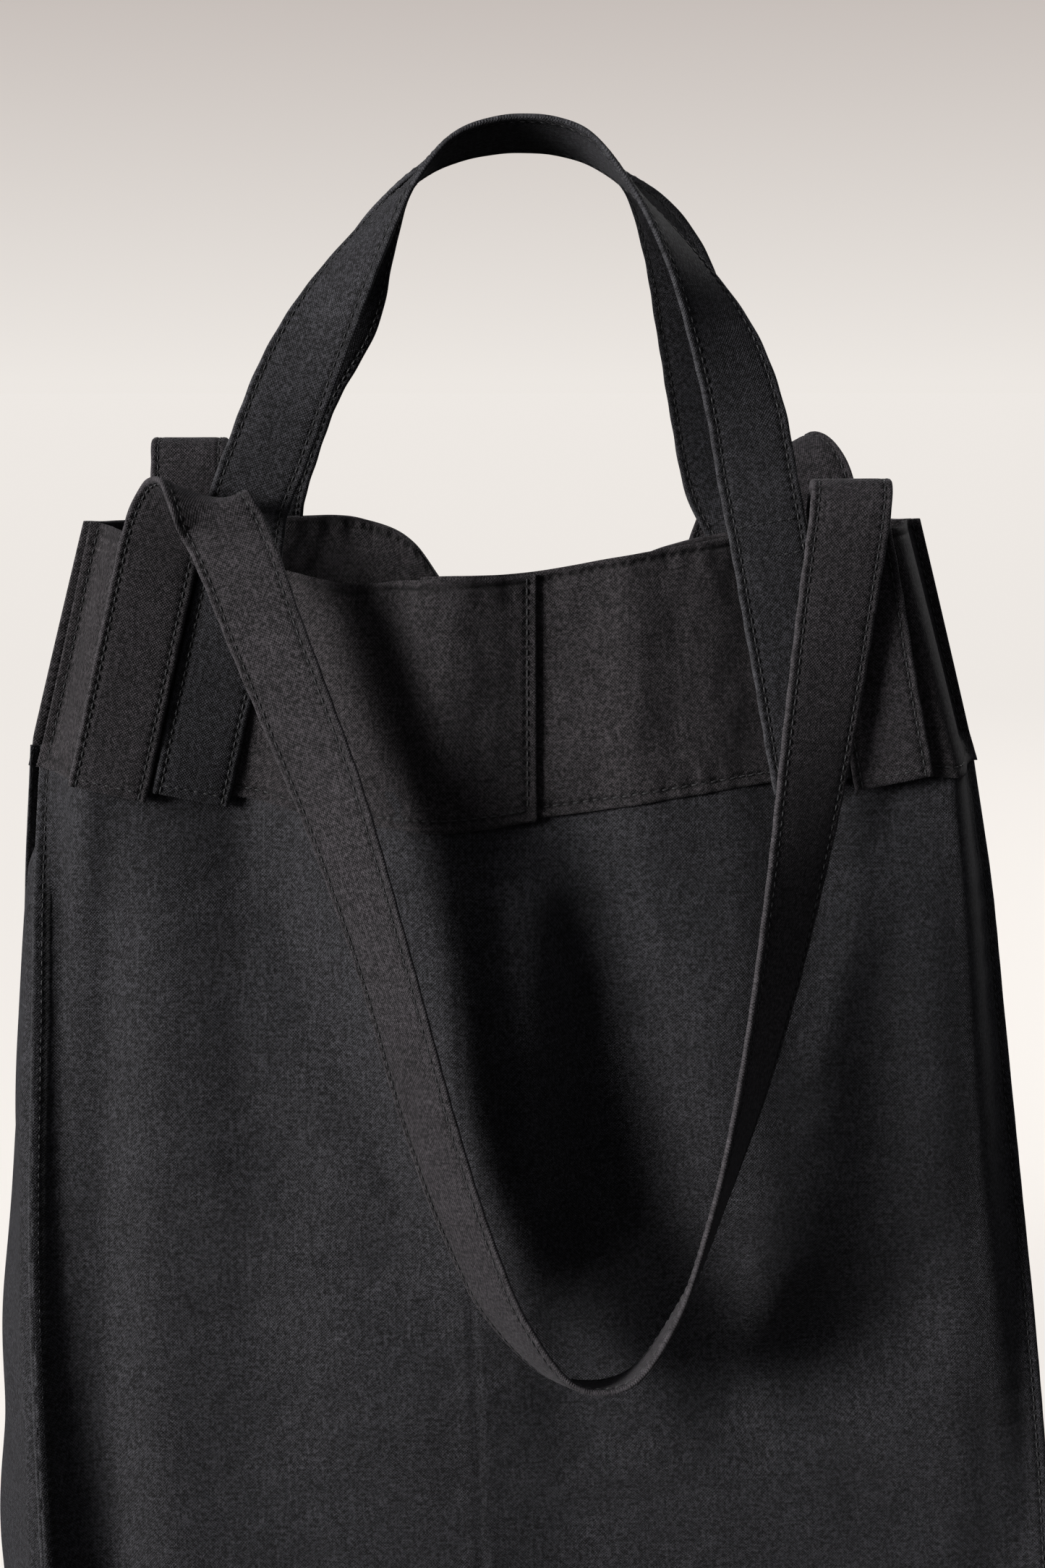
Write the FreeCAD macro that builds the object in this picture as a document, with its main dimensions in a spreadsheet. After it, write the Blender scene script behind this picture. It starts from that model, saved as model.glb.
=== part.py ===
import FreeCAD, Part
import math
import os
from FreeCAD import Placement, Rotation, Vector
import Sketcher

# A black canvas tote bag, standing on its base. +X is to the right as seen from the front,
# -Y the front and +Z up.
# The origin is on the underside of the base, in the middle. All sizes are in millimetres.

SIZES = {
    # the bag itself
    "base_half_width": 212.0,    # middle of the base to a corner seam
    "base_depth": 150.0,         # front to rear at the base
    "yoke_half_width": 196.0,    # middle to side seam at the yoke's lower edge
    "rim_half_width": 172.0,     # middle to side seam at the rim
    "side_height": 478.0,        # base to the rim at the side seams
    "yoke_band": 97.0,           # height of the doubled band round the mouth
    "rim_dip": 18.0,             # how much lower the rim hangs in the middle than at the side seams
    "mouth_depth": 130.0,        # front to rear at the middle of the mouth
    "gusset_top": 4.8,           # width of a side gusset where it runs out under the yoke
    "gusset_bulge": 14.0,        # how far the side gussets stand out at the base
    "gusset_top_bulge": 0.6,     # the same, where the gusset runs out under the yoke
    # cloth
    "canvas": 1.6,               # thickness of one seamed body panel
    "yoke_cloth": 2.4,           # thickness of the folded yoke band
    "base_cloth": 2.4,           # thickness of the base panel
    "side_seam": 7.0,            # width of the pressed seam at each end of the yoke
    "side_turn": 4.0,            # run over which the yoke closes onto that seam
    "centre_seam": 19.0,         # how far left of the middle the front's centre seam runs
    "lap_left": 36.0,            # where the lap of the yoke starts, left of the middle
    "lap_right": 9.0,            # where the upper yoke piece ends, right of the middle
    "lap_rise": 26.0,            # run over which the upper piece climbs onto the lower one
    # straps
    "strap_width": 32.0,
    "strap_cloth": 2.8,          # thickness of a four-layer strap
    "strap_edge": 0.9,           # rounding of a sewn strap end's long edges
    "strap_gap": 1.0,            # between the two straps sewn side by side
    "strap_overhang": 3.0,       # how far a sewn end hangs below the yoke
    "grab_foot": 106.0,          # middle to the centre of a grab handle at the rim
    "grab_foot_low": 128.0,      # the same at the yoke's lower edge
    "grab_rise": 176.0,          # rim to the top of a grab handle
    "grab_shoulder": 74.0,       # how far the handle climbs before it bends over
    "grab_crown": 60.0,          # how far the top of the handle runs flat to each side
    "grab_tilt": 18.0,           # degrees by which a handle's top faces the middle
    "grab_stand": 30.0,          # how far a grab handle's sewn end stands above the rim
    "fold_rise": 24.0,           # rim to the fold of a shoulder strap
    "fold_reach": 23.0,          # fold line in front of the sewn end's centre line
    "loop_drop": 352.0,          # fold to the bottom of a hanging shoulder strap
    "loop_out": 104.0,           # middle of the bag to the bottom of the hanging loop
    "loop_tilt": 22.0,           # degrees by which the loop's bottom leans back
    # thread
    "stitch_pitch": 4.0,
    "stitch_length": 3.0,
    "stitch_thick": 0.6,
    "stitch_inset": 3.0,         # row of stitches to the edge that it holds
    # clearances
    "seam_gap": 0.1,             # between layers that are sewn together
    "lap_gap": 0.4,              # between the two yoke pieces where they lap
    "wrap_gap": 1.0,             # between the yoke and the panels that it covers
    "base_gap": 0.8,             # between the base panel and the walls round it
    "corner_gap": 2.5,           # from the walls' upper edge up to the yoke's side seam
    "anchor_gap": 0.4,           # between the yoke and the flat strap end sewn on its curve
    "hinge_gap": 2.4,            # between a sewn strap end and the loop that moves
    "handle_gap": 1.6,           # between the two grab handles at their tops
}

document = FreeCAD.newDocument("canvas_tote_bag")
sheet = document.addObject("Spreadsheet::Sheet", "Sizes")
for row, (name, value) in enumerate(SIZES.items(), start=1):
    sheet.set("A%d" % row, name)
    sheet.set("B%d" % row, str(value))
    sheet.setAlias("B%d" % row, name)
document.recompute()

parts = []


def size(name):
    return float(sheet.get(name))


def cell(name):
    return "<<Sizes>>." + name


def keep(item, label):
    """Give an object the name of its sub-part and list it for export."""
    item.Label = label
    parts.append(item)
    return item


# ---------------------------------------------------------------- sketches and bodies

ORIGIN = (-1, 1)
ACROSS = -1
UP = -2


def new_body(name):
    return document.addObject("PartDesign::Body", name)


def new_sketch(body, name, height=None):
    """A sketch on the body's own XY plane, lifted to a height given as an expression."""
    plane = [f for f in body.Origin.OriginFeatures if f.Role == "XY_Plane"][0]
    sketch = body.newObject("Sketcher::SketchObject", name)
    sketch.AttachmentSupport = (plane, "")
    sketch.MapMode = "FlatFace"
    if height:
        sketch.setExpression("AttachmentOffset.Base.z", height)
    return sketch


def fix(sketch, kind, vertex, value, expression, negative=False):
    """Hold one coordinate of a vertex at a size, on the negative side if asked."""
    ends = (vertex + ORIGIN) if negative else (ORIGIN + vertex)
    index = sketch.addConstraint(Sketcher.Constraint(kind, *ends, value))
    sketch.setExpression("Constraints[%d]" % index, expression)


def close(sketch, order):
    """Join the end of each edge to the start of the next. Each entry is (edge, start, end)."""
    for (edge, _, end), (following, start, _) in zip(order, order[1:] + order[:1]):
        sketch.addConstraint(Sketcher.Constraint("Coincident", edge, end, following, start))


def rectangle_sketch(body, name, across, along, height=None):
    """A rectangle centred on the origin. across and along are (value, expression)."""
    sketch = new_sketch(body, name, height)
    a, b = across[0] / 2, along[0] / 2
    corners = [Vector(-a, -b, 0), Vector(a, -b, 0), Vector(a, b, 0), Vector(-a, b, 0)]
    for start, end in zip(corners, corners[1:] + corners[:1]):
        sketch.addGeometry(Part.LineSegment(start, end), False)
    close(sketch, [(0, 1, 2), (1, 1, 2), (2, 1, 2), (3, 1, 2)])
    for edge, kind in ((0, "Horizontal"), (1, "Vertical"), (2, "Horizontal"), (3, "Vertical")):
        sketch.addConstraint(Sketcher.Constraint(kind, edge))
    sketch.addConstraint(Sketcher.Constraint("Symmetric", 0, 1, 1, 2, -1, 1))
    for kind, edge, (value, expression) in (("DistanceX", 0, across), ("DistanceY", 1, along)):
        index = sketch.addConstraint(Sketcher.Constraint(kind, edge, 1, edge, 2, value))
        sketch.setExpression("Constraints[%d]" % index, expression)
    return sketch


def loft(body, profile, section):
    feature = body.newObject("PartDesign::AdditiveLoft", "Loft")
    feature.Profile = profile
    feature.Sections = [section]
    feature.Ruled = True
    return feature


# ---------------------------------------------------------------- shape of the bag

half_mouth = size("mouth_depth") / 2
half_base = size("base_depth") / 2
yoke_low = size("side_height") - size("yoke_band")
corner_depth = size("canvas") + size("seam_gap") + size("gusset_top") / 2
wall_top = "(%s - %s - %s)" % tuple(map(cell, ("side_height", "yoke_band", "corner_gap")))


def arc_radius(half_width, sagitta):
    return (half_width ** 2 + sagitta ** 2) / (2 * sagitta)


def front_depth(x, half_width):
    """How far in front of the middle plane the bag's front lies, x from its centre line."""
    sagitta = half_mouth - corner_depth
    radius = arc_radius(half_width, sagitta)
    return math.sqrt(max(radius ** 2 - x ** 2, 0.0)) - (radius - half_mouth)


def yoke_half_width(up):
    """Middle to the side seam, from the yoke's lower edge (up 0) to the rim (up 1)."""
    return size("yoke_half_width") + (size("rim_half_width") - size("yoke_half_width")) * up


def yoke_point(x, up, outward=0.0):
    """A point of the front yoke, x from the centre line, outward from the yoke's inner face."""
    half_width = yoke_half_width(up)
    z = yoke_low + size("yoke_band") * up - size("rim_dip") * (1 - (x / half_width) ** 2)
    seam_start = half_width - size("side_seam")
    turn_start = seam_start - size("side_turn")
    if abs(x) > turn_start + 1e-6:
        closed = min((abs(x) - turn_start) / size("side_turn"), 1.0)
        open_depth = front_depth(turn_start, half_width) + size("wrap_gap")
        depth = open_depth + (size("seam_gap") / 2 - open_depth) * closed
        return Vector(x, -depth - outward, z)
    below = (yoke_low - z) / yoke_low * (1 - up)
    depth = front_depth(x, half_width) * (1 - below) + half_base * below + size("wrap_gap")
    slope = x / arc_radius(half_width, half_mouth - corner_depth)
    lean = Vector(slope, -math.sqrt(1 - slope ** 2), 0)
    return Vector(x, -depth, z) + lean * outward


def four_sided(a, b, c, d):
    """The face between the lines a-b and d-c, flat or evenly twisted."""
    return Part.makeRuledSurface(Part.makeLine(a, b), Part.makeLine(d, c))


def strip(sections):
    """A solid through quadrilateral sections, each a list of four corners in the same order."""
    faces = [four_sided(*sections[0]), four_sided(*sections[-1])]
    for near, far in zip(sections, sections[1:]):
        for corner in range(4):
            following = (corner + 1) % 4
            faces.append(four_sided(near[corner], near[following], far[following], far[corner]))
    shell = Part.makeShell(faces)
    shell.sewShape()
    solid = Part.makeSolid(Part.Shell(shell.Faces))
    if solid.Volume < 0:
        solid.reverse()
    return solid


# ---------------------------------------------------------------- base

base = new_body("Base")
base_sketch = new_sketch(base, "BaseOutline")
base_margin = "%s + %s" % (cell("canvas"), cell("base_gap"))
base_reach = size("base_half_width") - size("canvas") - size("base_gap")
base_half = half_base - size("canvas") - size("base_gap")
end_radius = arc_radius(base_half, size("gusset_bulge"))
swing = math.asin(base_half / end_radius)
for side in (1, -1):
    centre = Vector(side * (base_reach + size("gusset_bulge") - end_radius), 0, 0)
    circle = Part.Circle(centre, Vector(0, 0, 1), end_radius)
    middle = 0 if side > 0 else math.pi
    base_sketch.addGeometry(Part.ArcOfCircle(circle, middle - swing, middle + swing), False)
    long_edge = Vector(-side * base_reach, side * base_half, 0)
    base_sketch.addGeometry(
        Part.LineSegment(Vector(side * base_reach, side * base_half, 0), long_edge), False)
close(base_sketch, [(0, 1, 2), (1, 1, 2), (2, 1, 2), (3, 1, 2)])
half_length = "%s / 2 - (%s)" % (cell("base_depth"), base_margin)
end_bend = "((%s) * (%s) + %s * %s) / (2 * %s)" % (
    half_length, half_length, cell("gusset_bulge"), cell("gusset_bulge"), cell("gusset_bulge"))
for edge, negative in ((0, False), (2, True)):
    index = base_sketch.addConstraint(Sketcher.Constraint("Radius", edge, end_radius))
    base_sketch.setExpression("Constraints[%d]" % index, end_bend)
    for end in (1, 2):
        fix(base_sketch, "DistanceX", (edge, end), base_reach,
            "%s - (%s)" % (cell("base_half_width"), base_margin), negative)
        below = (end == 1) != negative
        fix(base_sketch, "DistanceY", (edge, end), base_half, half_length, below)
base_pad = base.newObject("PartDesign::Pad", "BasePad")
base_pad.Profile = base_sketch
base_pad.setExpression("Length", cell("base_cloth"))
keep(base, "base_panel")


# ---------------------------------------------------------------- body panels

def panel(label, side, turned):
    """One half of the front, from the centre seam to a corner seam; turned makes it the rear's."""
    negative = side < 0
    body = new_body(label)
    # both halves meet left of the middle, so the inner edge of either has a negative x
    start = size("centre_seam") - side * size("seam_gap") / 2
    start_size = "%s %s %s / 2" % (cell("centre_seam"), "-" if side > 0 else "+", cell("seam_gap"))

    low = new_sketch(body, label + "_low")
    width = size("base_half_width")
    inner = half_base - size("canvas")
    points = [
        Vector(-start, -half_base, 0),
        Vector(side * width, -half_base, 0),
        Vector(side * (width - size("canvas")), -inner, 0),
        Vector(-start, -inner, 0),
    ]
    for first, second in zip(points, points[1:] + points[:1]):
        low.addGeometry(Part.LineSegment(first, second), False)
    close(low, [(0, 1, 2), (1, 1, 2), (2, 1, 2), (3, 1, 2)])
    across = (
        start_size,
        cell("base_half_width"),
        "%s - %s" % (cell("base_half_width"), cell("canvas")),
        start_size,
    )
    at_seam = (True, negative, negative, True)
    outer_y = cell("base_depth") + " / 2"
    inner_y = "%s - %s" % (outer_y, cell("canvas"))
    for edge, (x_size, y_size) in enumerate(zip(across, (outer_y, outer_y, inner_y, inner_y))):
        fix(low, "DistanceX", (edge, 1), abs(points[edge].x), x_size, at_seam[edge])
        fix(low, "DistanceY", (edge, 1), abs(points[edge].y), y_size, True)

    top = new_sketch(body, label + "_top", wall_top)
    width = size("yoke_half_width")
    sagitta = half_mouth - corner_depth
    radius = arc_radius(width, sagitta)
    centre = Vector(0, radius - half_mouth, 0)
    thin = radius - size("canvas")
    corner_x = side * width
    thin_x = side * (width - size("canvas"))
    ends = []
    for reach, arm in ((-start, radius), (corner_x, radius), (thin_x, thin), (-start, thin)):
        ends.append(Vector(reach, centre.y - math.sqrt(arm ** 2 - reach ** 2), 0))

    def arc(arm, first, second):
        circle = Part.Circle(centre, Vector(0, 0, 1), arm)
        angles = sorted(math.atan2(p.y - centre.y, p.x - centre.x) for p in (first, second))
        return Part.ArcOfCircle(circle, *angles)

    top.addGeometry(arc(radius, ends[0], ends[1]), False)
    top.addGeometry(Part.LineSegment(ends[1], ends[2]), False)
    top.addGeometry(arc(thin, ends[3], ends[2]), False)
    top.addGeometry(Part.LineSegment(ends[3], ends[0]), False)
    # an arc's start is its clockwise end, which is the centre seam on the right half
    inboard, outboard = (1, 2) if side > 0 else (2, 1)
    close(top, [(0, inboard, outboard), (1, 1, 2), (2, outboard, inboard), (3, 1, 2)])
    top.addConstraint(Sketcher.Constraint("PointOnObject", 0, 3, UP))
    top.addConstraint(Sketcher.Constraint("Coincident", 0, 3, 2, 3))
    corner = "(%s + %s + %s / 2)" % (cell("canvas"), cell("seam_gap"), cell("gusset_top"))
    depth_at_corner = "(%s / 2 - %s)" % (cell("mouth_depth"), corner)
    bend = "(%s * %s + %s * %s) / (2 * %s)" % (
        cell("yoke_half_width"), cell("yoke_half_width"),
        depth_at_corner, depth_at_corner, depth_at_corner)
    for edge, arm, expression in ((0, radius, bend), (2, thin, bend + " - " + cell("canvas"))):
        index = top.addConstraint(Sketcher.Constraint("Radius", edge, arm))
        top.setExpression("Constraints[%d]" % index, expression)
    fix(top, "DistanceX", (0, inboard), start, start_size, True)
    fix(top, "DistanceX", (0, outboard), width, cell("yoke_half_width"), negative)
    fix(top, "DistanceY", (0, outboard), corner_depth, corner, True)
    fix(top, "DistanceX", (2, inboard), start, start_size, True)
    fix(top, "DistanceX", (2, outboard), width - size("canvas"),
        "%s - %s" % (cell("yoke_half_width"), cell("canvas")), negative)

    loft(body, low, top)
    if turned:
        body.Placement = Placement(Vector(), Rotation(Vector(0, 0, 1), 180))
    return keep(body, label)


panel("front_panel_left", -1, False)
panel("front_panel_right", 1, False)
panel("rear_panel_left", 1, True)
panel("rear_panel_right", -1, True)


# ---------------------------------------------------------------- side gussets

def gusset_section(body, name, reach, half_width, bulge, height=None):
    """A thin arc across the side. Each size is (value, expression), height an expression."""
    sketch = new_sketch(body, name, height)
    outer = arc_radius(half_width[0], bulge[0])
    centre = Vector(reach[0] + bulge[0] - outer, 0, 0)
    inner = outer - size("canvas")
    spread = math.asin(half_width[0] / outer)
    spread_inner = math.asin(half_width[0] / inner)
    near, far = half_width[0], math.sqrt(inner ** 2 - half_width[0] ** 2) + centre.x
    circle = Part.Circle(centre, Vector(0, 0, 1), outer)
    sketch.addGeometry(Part.ArcOfCircle(circle, -spread, spread), False)
    sketch.addGeometry(Part.LineSegment(Vector(reach[0], near, 0), Vector(far, near, 0)), False)
    circle = Part.Circle(centre, Vector(0, 0, 1), inner)
    sketch.addGeometry(Part.ArcOfCircle(circle, -spread_inner, spread_inner), False)
    sketch.addGeometry(Part.LineSegment(Vector(far, -near, 0), Vector(reach[0], -near, 0)), False)
    close(sketch, [(0, 1, 2), (1, 1, 2), (2, 2, 1), (3, 1, 2)])
    bend = "(%s * %s + %s * %s) / (2 * %s)" % (
        half_width[1], half_width[1], bulge[1], bulge[1], bulge[1])
    index = sketch.addConstraint(Sketcher.Constraint("Radius", 0, outer))
    sketch.setExpression("Constraints[%d]" % index, bend)
    index = sketch.addConstraint(Sketcher.Constraint("Radius", 2, inner))
    sketch.setExpression("Constraints[%d]" % index, "%s - %s" % (bend, cell("canvas")))
    sketch.addConstraint(Sketcher.Constraint("Coincident", 0, 3, 2, 3))
    for edge, end, negative in ((0, 1, True), (0, 2, False), (2, 1, True), (2, 2, False)):
        fix(sketch, "DistanceY", (edge, end), half_width[0], half_width[1], negative)
    fix(sketch, "DistanceX", (0, 1), reach[0], reach[1])
    return sketch


def gusset(label, turned):
    """A tapered panel from a corner of the base to the side seam of the yoke."""
    body = new_body(label)
    clear = "%s + %s" % (cell("canvas"), cell("seam_gap"))
    low = gusset_section(
        body,
        label + "_low",
        (size("base_half_width"), cell("base_half_width")),
        (half_base - size("canvas") - size("seam_gap"), "(%s / 2 - %s - %s)" % (
            cell("base_depth"), cell("canvas"), cell("seam_gap"))),
        (size("gusset_bulge"), cell("gusset_bulge")),
    )
    top = gusset_section(
        body,
        label + "_top",
        (size("yoke_half_width"), cell("yoke_half_width")),
        (size("gusset_top") / 2, "(%s / 2)" % cell("gusset_top")),
        (size("gusset_top_bulge"), cell("gusset_top_bulge")),
        wall_top,
    )
    loft(body, low, top)
    if turned:
        body.Placement = Placement(Vector(), Rotation(Vector(0, 0, 1), 180))
    return keep(body, label)


gusset("left_gusset", True)
gusset("right_gusset", False)


# ---------------------------------------------------------------- yoke

YOKE_SECTIONS = 12
LAP_SECTIONS = 5


def lap_height(x):
    """How far the upper yoke piece stands off where it laps over the lower one."""
    start = -size("lap_left")
    full = size("yoke_cloth") + size("lap_gap")
    return full * min(max((x - start + size("lap_rise")) / size("lap_rise"), 0.0), 1.0)


def yoke_piece(label, side, turned):
    """Half of the doubled band; the left one of the front laps over the right one."""
    upper = side < 0
    inner_end = size("lap_right") if upper else -size("lap_left") + size("seam_gap")
    sections = []

    def section(x_low, x_high):
        corners = []
        for x, up, layer in ((x_low, 0, 0), (x_low, 0, 1), (x_high, 1, 1), (x_high, 1, 0)):
            lift = lap_height(x) if upper else 0.0
            corners.append(yoke_point(x, up, lift + layer * size("yoke_cloth")))
        sections.append(corners)

    if upper:
        lap = inner_end + size("lap_left")
        for step in range(LAP_SECTIONS + 1):
            x = inner_end - lap * step / LAP_SECTIONS
            section(x, x)
        section(x - size("lap_rise"), x - size("lap_rise"))
    else:
        section(inner_end, inner_end)
    first = side * sections[-1][0].x
    arc_end = [yoke_half_width(up) - size("side_seam") - size("side_turn") for up in (0, 1)]
    for step in range(1, YOKE_SECTIONS + 1):
        share = step / YOKE_SECTIONS
        section(*(side * (first + (end - first) * share) for end in arc_end))
    for back in (size("side_seam"), 0.0):
        section(*(side * (yoke_half_width(up) - back) for up in (0, 1)))

    piece = document.addObject("Part::Feature", label)
    piece.Shape = strip(sections)
    if turned:
        piece.Placement = Placement(Vector(), Rotation(Vector(0, 0, 1), 180))
    return keep(piece, label)


yoke_piece("front_yoke_left", -1, False)
yoke_piece("front_yoke_right", 1, False)
yoke_piece("rear_yoke_right", -1, True)
yoke_piece("rear_yoke_left", 1, True)


# ---------------------------------------------------------------- sewn strap ends

def strap_line(side, which):
    """Where a strap is sewn to the front yoke: its foot, and its along, across and outward axes."""
    run = size("grab_foot_low") - size("grab_foot")
    beside = size("strap_width") + size("strap_gap")
    beside *= math.hypot(run, size("yoke_band")) / size("yoke_band")
    shift = beside if which == "shoulder" else 0.0
    low = side * (size("grab_foot_low") + shift)
    rim = side * (size("grab_foot") + shift)
    face = size("yoke_cloth")
    foot = yoke_point(low, 0, face)
    along = (yoke_point(rim, 1, face) - foot).normalize()
    middle = (low + rim) / 2
    tangent = yoke_point(middle + 1, 0.5, face) - yoke_point(middle - 1, 0.5, face)
    outward = tangent.cross(along).normalize()
    across = along.cross(outward).normalize()
    proudest = max(
        (yoke_point(low + (rim - low) * up + edge, up, face) - foot).dot(outward)
        for up in (0, 0.25, 0.5, 0.75, 1)
        for edge in (-size("strap_width") / 2, 0, size("strap_width") / 2)
    )
    foot += outward * (proudest + size("anchor_gap") + size("strap_cloth") / 2)
    return foot, along, across, outward


NEARLY_UPRIGHT = 0.99            # the upward part of an edge's unit direction


def sewn_end(label, side, which, turned):
    """A flat strap end on the face of the yoke; a shoulder strap's runs on up to its fold."""
    foot, along, across, outward = strap_line(side, which)
    body = new_body(label)
    outline = rectangle_sketch(
        body,
        label + "_outline",
        (size("strap_width"), cell("strap_width")),
        (size("strap_cloth"), cell("strap_cloth")),
    )
    pad = body.newObject("PartDesign::Pad", label + "_pad")
    pad.Profile = outline
    above = {"grab": "grab_stand", "shoulder": "fold_rise"}[which]
    pad.setExpression("Length", " + ".join(map(cell, ("yoke_band", "strap_overhang", above))))
    document.recompute()
    upright_edges = [
        "Edge%d" % (i + 1)
        for i, edge in enumerate(pad.Shape.Edges)
        if abs(edge.tangentAt(edge.FirstParameter).z) > NEARLY_UPRIGHT
    ]
    edges = body.newObject("PartDesign::Fillet", label + "_edges")
    edges.Base = (pad, upright_edges)
    edges.setExpression("Radius", cell("strap_edge"))
    place = Placement(foot - along * size("strap_overhang"), Rotation(across, -outward, along))
    if turned:
        place = Placement(Vector(), Rotation(Vector(0, 0, 1), 180)).multiply(place)
    body.Placement = place
    return keep(body, label)


for face_name, turned in (("front", False), ("rear", True)):
    for side_name, side in (("left", -1), ("right", 1)):
        for which in ("grab", "shoulder"):
            own_side = -side if turned else side
            sewn_end("%s_%s_strap_end_%s" % (face_name, which, side_name), own_side, which, turned)


# ---------------------------------------------------------------- strap loops

def loop_solid(label, centres, widths, outwards, turned):
    """A flat strap through the given centres, each with its width and outward directions."""
    sections = []
    for centre, across, outward in zip(centres, widths, outwards):
        a, b = across * (size("strap_width") / 2), outward * (size("strap_cloth") / 2)
        sections.append([centre + a + b, centre + a - b, centre - a - b, centre - a + b])
    piece = document.addObject("Part::Feature", label)
    piece.Shape = strip(sections)
    if turned:
        piece.Placement = Placement(Vector(), Rotation(Vector(0, 0, 1), 180))
    return keep(piece, label)


def square_to(direction, tangent):
    """The unit vector nearest to a direction that is square to a tangent."""
    return (direction - tangent * direction.dot(tangent)).normalize()


GRAB_SECTIONS = 14
LOOP_SECTIONS = 48


def grab_handle(label, turned):
    """An arch whose width runs across the bag at its feet and front to rear at its top."""
    foot, along, _, _ = strap_line(-1, "grab")
    start = foot + along * (size("yoke_band") + size("grab_stand") + size("hinge_gap"))
    tilt = math.radians(size("grab_tilt"))
    top_across = Vector(0, -math.cos(tilt), math.sin(tilt))
    top_back = size("strap_width") / 2 * math.cos(tilt) + size("handle_gap") / 2
    crown = Vector(0, -top_back, size("side_height") - size("rim_dip") + size("grab_rise"))
    poles = [start, start + along * size("grab_shoulder"),
             crown - Vector(size("grab_crown"), 0, 0), crown]
    curve = Part.BezierCurve()
    curve.setPoles(poles)
    centres, widths, outwards = [], [], []
    for step in range(GRAB_SECTIONS + 1):
        share = step / GRAB_SECTIONS
        tangent = Vector(*curve.tangent(share)[0])
        turn = share * share * (3 - 2 * share)
        across = square_to(Vector(1, 0, 0) * (1 - turn) + top_across * turn, tangent)
        centres.append(curve.value(share))
        widths.append(across)
        outwards.append(across.cross(tangent))
    for step in range(GRAB_SECTIONS - 1, -1, -1):
        centres.append(Vector(-centres[step].x, centres[step].y, centres[step].z))
        widths.append(Vector(-widths[step].x, widths[step].y, widths[step].z))
        outwards.append(Vector(-outwards[step].x, outwards[step].y, outwards[step].z))
    return loop_solid(label, centres, widths, outwards, turned)


# The hanging loop, from its left fold to its right one. across is a share of the fold's distance
# from the middle, down a share of the drop, out a share of the way from the fold line to loop_out,
# and turn the angle of the strap's width from +X towards the front.
HANGING = [
    (-1.00, 0.000, 0.00, 0),
    (-0.88, 0.045, 0.38, 8),
    (-0.70, 0.140, 0.56, 22),
    (-0.53, 0.320, 0.66, 32),
    (-0.29, 0.680, 0.95, 36),
    (-0.17, 0.820, 1.00, 45),
    (-0.02, 0.945, 1.00, 66),
    (0.21, 1.000, 1.00, 90),
    (0.40, 0.945, 1.00, 97),
    (0.55, 0.830, 1.00, 104),
    (0.70, 0.640, 0.95, 125),
    (0.82, 0.420, 0.80, 146),
    (0.91, 0.220, 0.62, 168),
    (0.97, 0.065, 0.36, 178),
    (1.00, 0.000, 0.00, 180),
]


def shoulder_strap(label, turned):
    """A loop that hangs in front of the bag, from the folds above its sewn ends."""
    foot, along, _, _ = strap_line(1, "shoulder")
    fold = foot + along * (size("yoke_band") + size("fold_rise"))
    fold.y -= size("fold_reach")
    points, turns = [], []
    for across, down, out, turn in HANGING:
        y = fold.y - out * (size("loop_out") + fold.y)
        points.append(Vector(across * fold.x, y, fold.z - down * size("loop_drop")))
        turns.append(turn)
    curve = Part.BSplineCurve()
    curve.interpolate(points)
    marks = [curve.parameter(p) for p in points]
    lean = math.tan(math.radians(size("loop_tilt")))
    centres, widths, outwards = [], [], []
    for step in range(LOOP_SECTIONS + 1):
        at = curve.FirstParameter + (curve.LastParameter - curve.FirstParameter) * step / LOOP_SECTIONS
        tangent = Vector(*curve.tangent(at)[0])
        span = min(sum(1 for m in marks if m <= at), len(marks) - 1)
        share = (at - marks[span - 1]) / (marks[span] - marks[span - 1])
        turn = math.radians(turns[span - 1] + (turns[span] - turns[span - 1]) * share)
        across = square_to(
            Vector(math.cos(turn), -math.sin(turn), lean * math.sin(turn) ** 2), tangent)
        centres.append(curve.value(at))
        widths.append(across)
        outwards.append(tangent.cross(across))
    return loop_solid(label, centres, widths, outwards, turned)


grab_handle("front_grab_handle", False)
grab_handle("rear_grab_handle", True)
shoulder_strap("front_shoulder_strap", False)
shoulder_strap("rear_shoulder_strap", True)


# ---------------------------------------------------------------- stitching

def stitches(label, rows, turned):
    """Short bars of thread that stand half out of the cloth. rows are (start, end, outward)."""
    bars = []
    for start, end, outward in rows:
        run = end - start
        count = int(run.Length // size("stitch_pitch"))
        along = Vector(run).normalize()
        across = outward.cross(along)
        for index in range(count):
            middle = start + along * ((index + 0.5) * run.Length / count)
            bar = Part.makeBox(size("stitch_thick"), size("stitch_thick"), size("stitch_length"))
            bar.translate(Vector(-size("stitch_thick") / 2, 0, -size("stitch_length") / 2))
            bar.Placement = Placement(middle, Rotation(across, outward, along)).multiply(bar.Placement)
            bars.append(bar)
    piece = document.addObject("Part::Feature", label)
    piece.Shape = Part.makeCompound(bars)
    if turned:
        piece.Placement = Placement(Vector(), Rotation(Vector(0, 0, 1), 180))
    return keep(piece, label)


def anchor_rows(side):
    """Rows round the sewn ends of a pair of straps: down both edges and across the foot."""
    rows = []
    reach = size("strap_width") / 2 - size("stitch_inset")
    lift = size("strap_cloth") / 2 + size("seam_gap")
    for which in ("grab", "shoulder"):
        foot, along, across, outward = strap_line(side, which)
        low = foot + outward * lift + along * (size("stitch_inset") - size("strap_overhang"))
        high = foot + outward * lift + along * (size("yoke_band") - size("stitch_inset"))
        rows += [
            (low + across * reach, high + across * reach, outward),
            (low - across * reach, high - across * reach, outward),
            (low - across * (reach - size("stitch_pitch")),
             low + across * (reach - size("stitch_pitch")), outward),
        ]
    return rows


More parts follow.
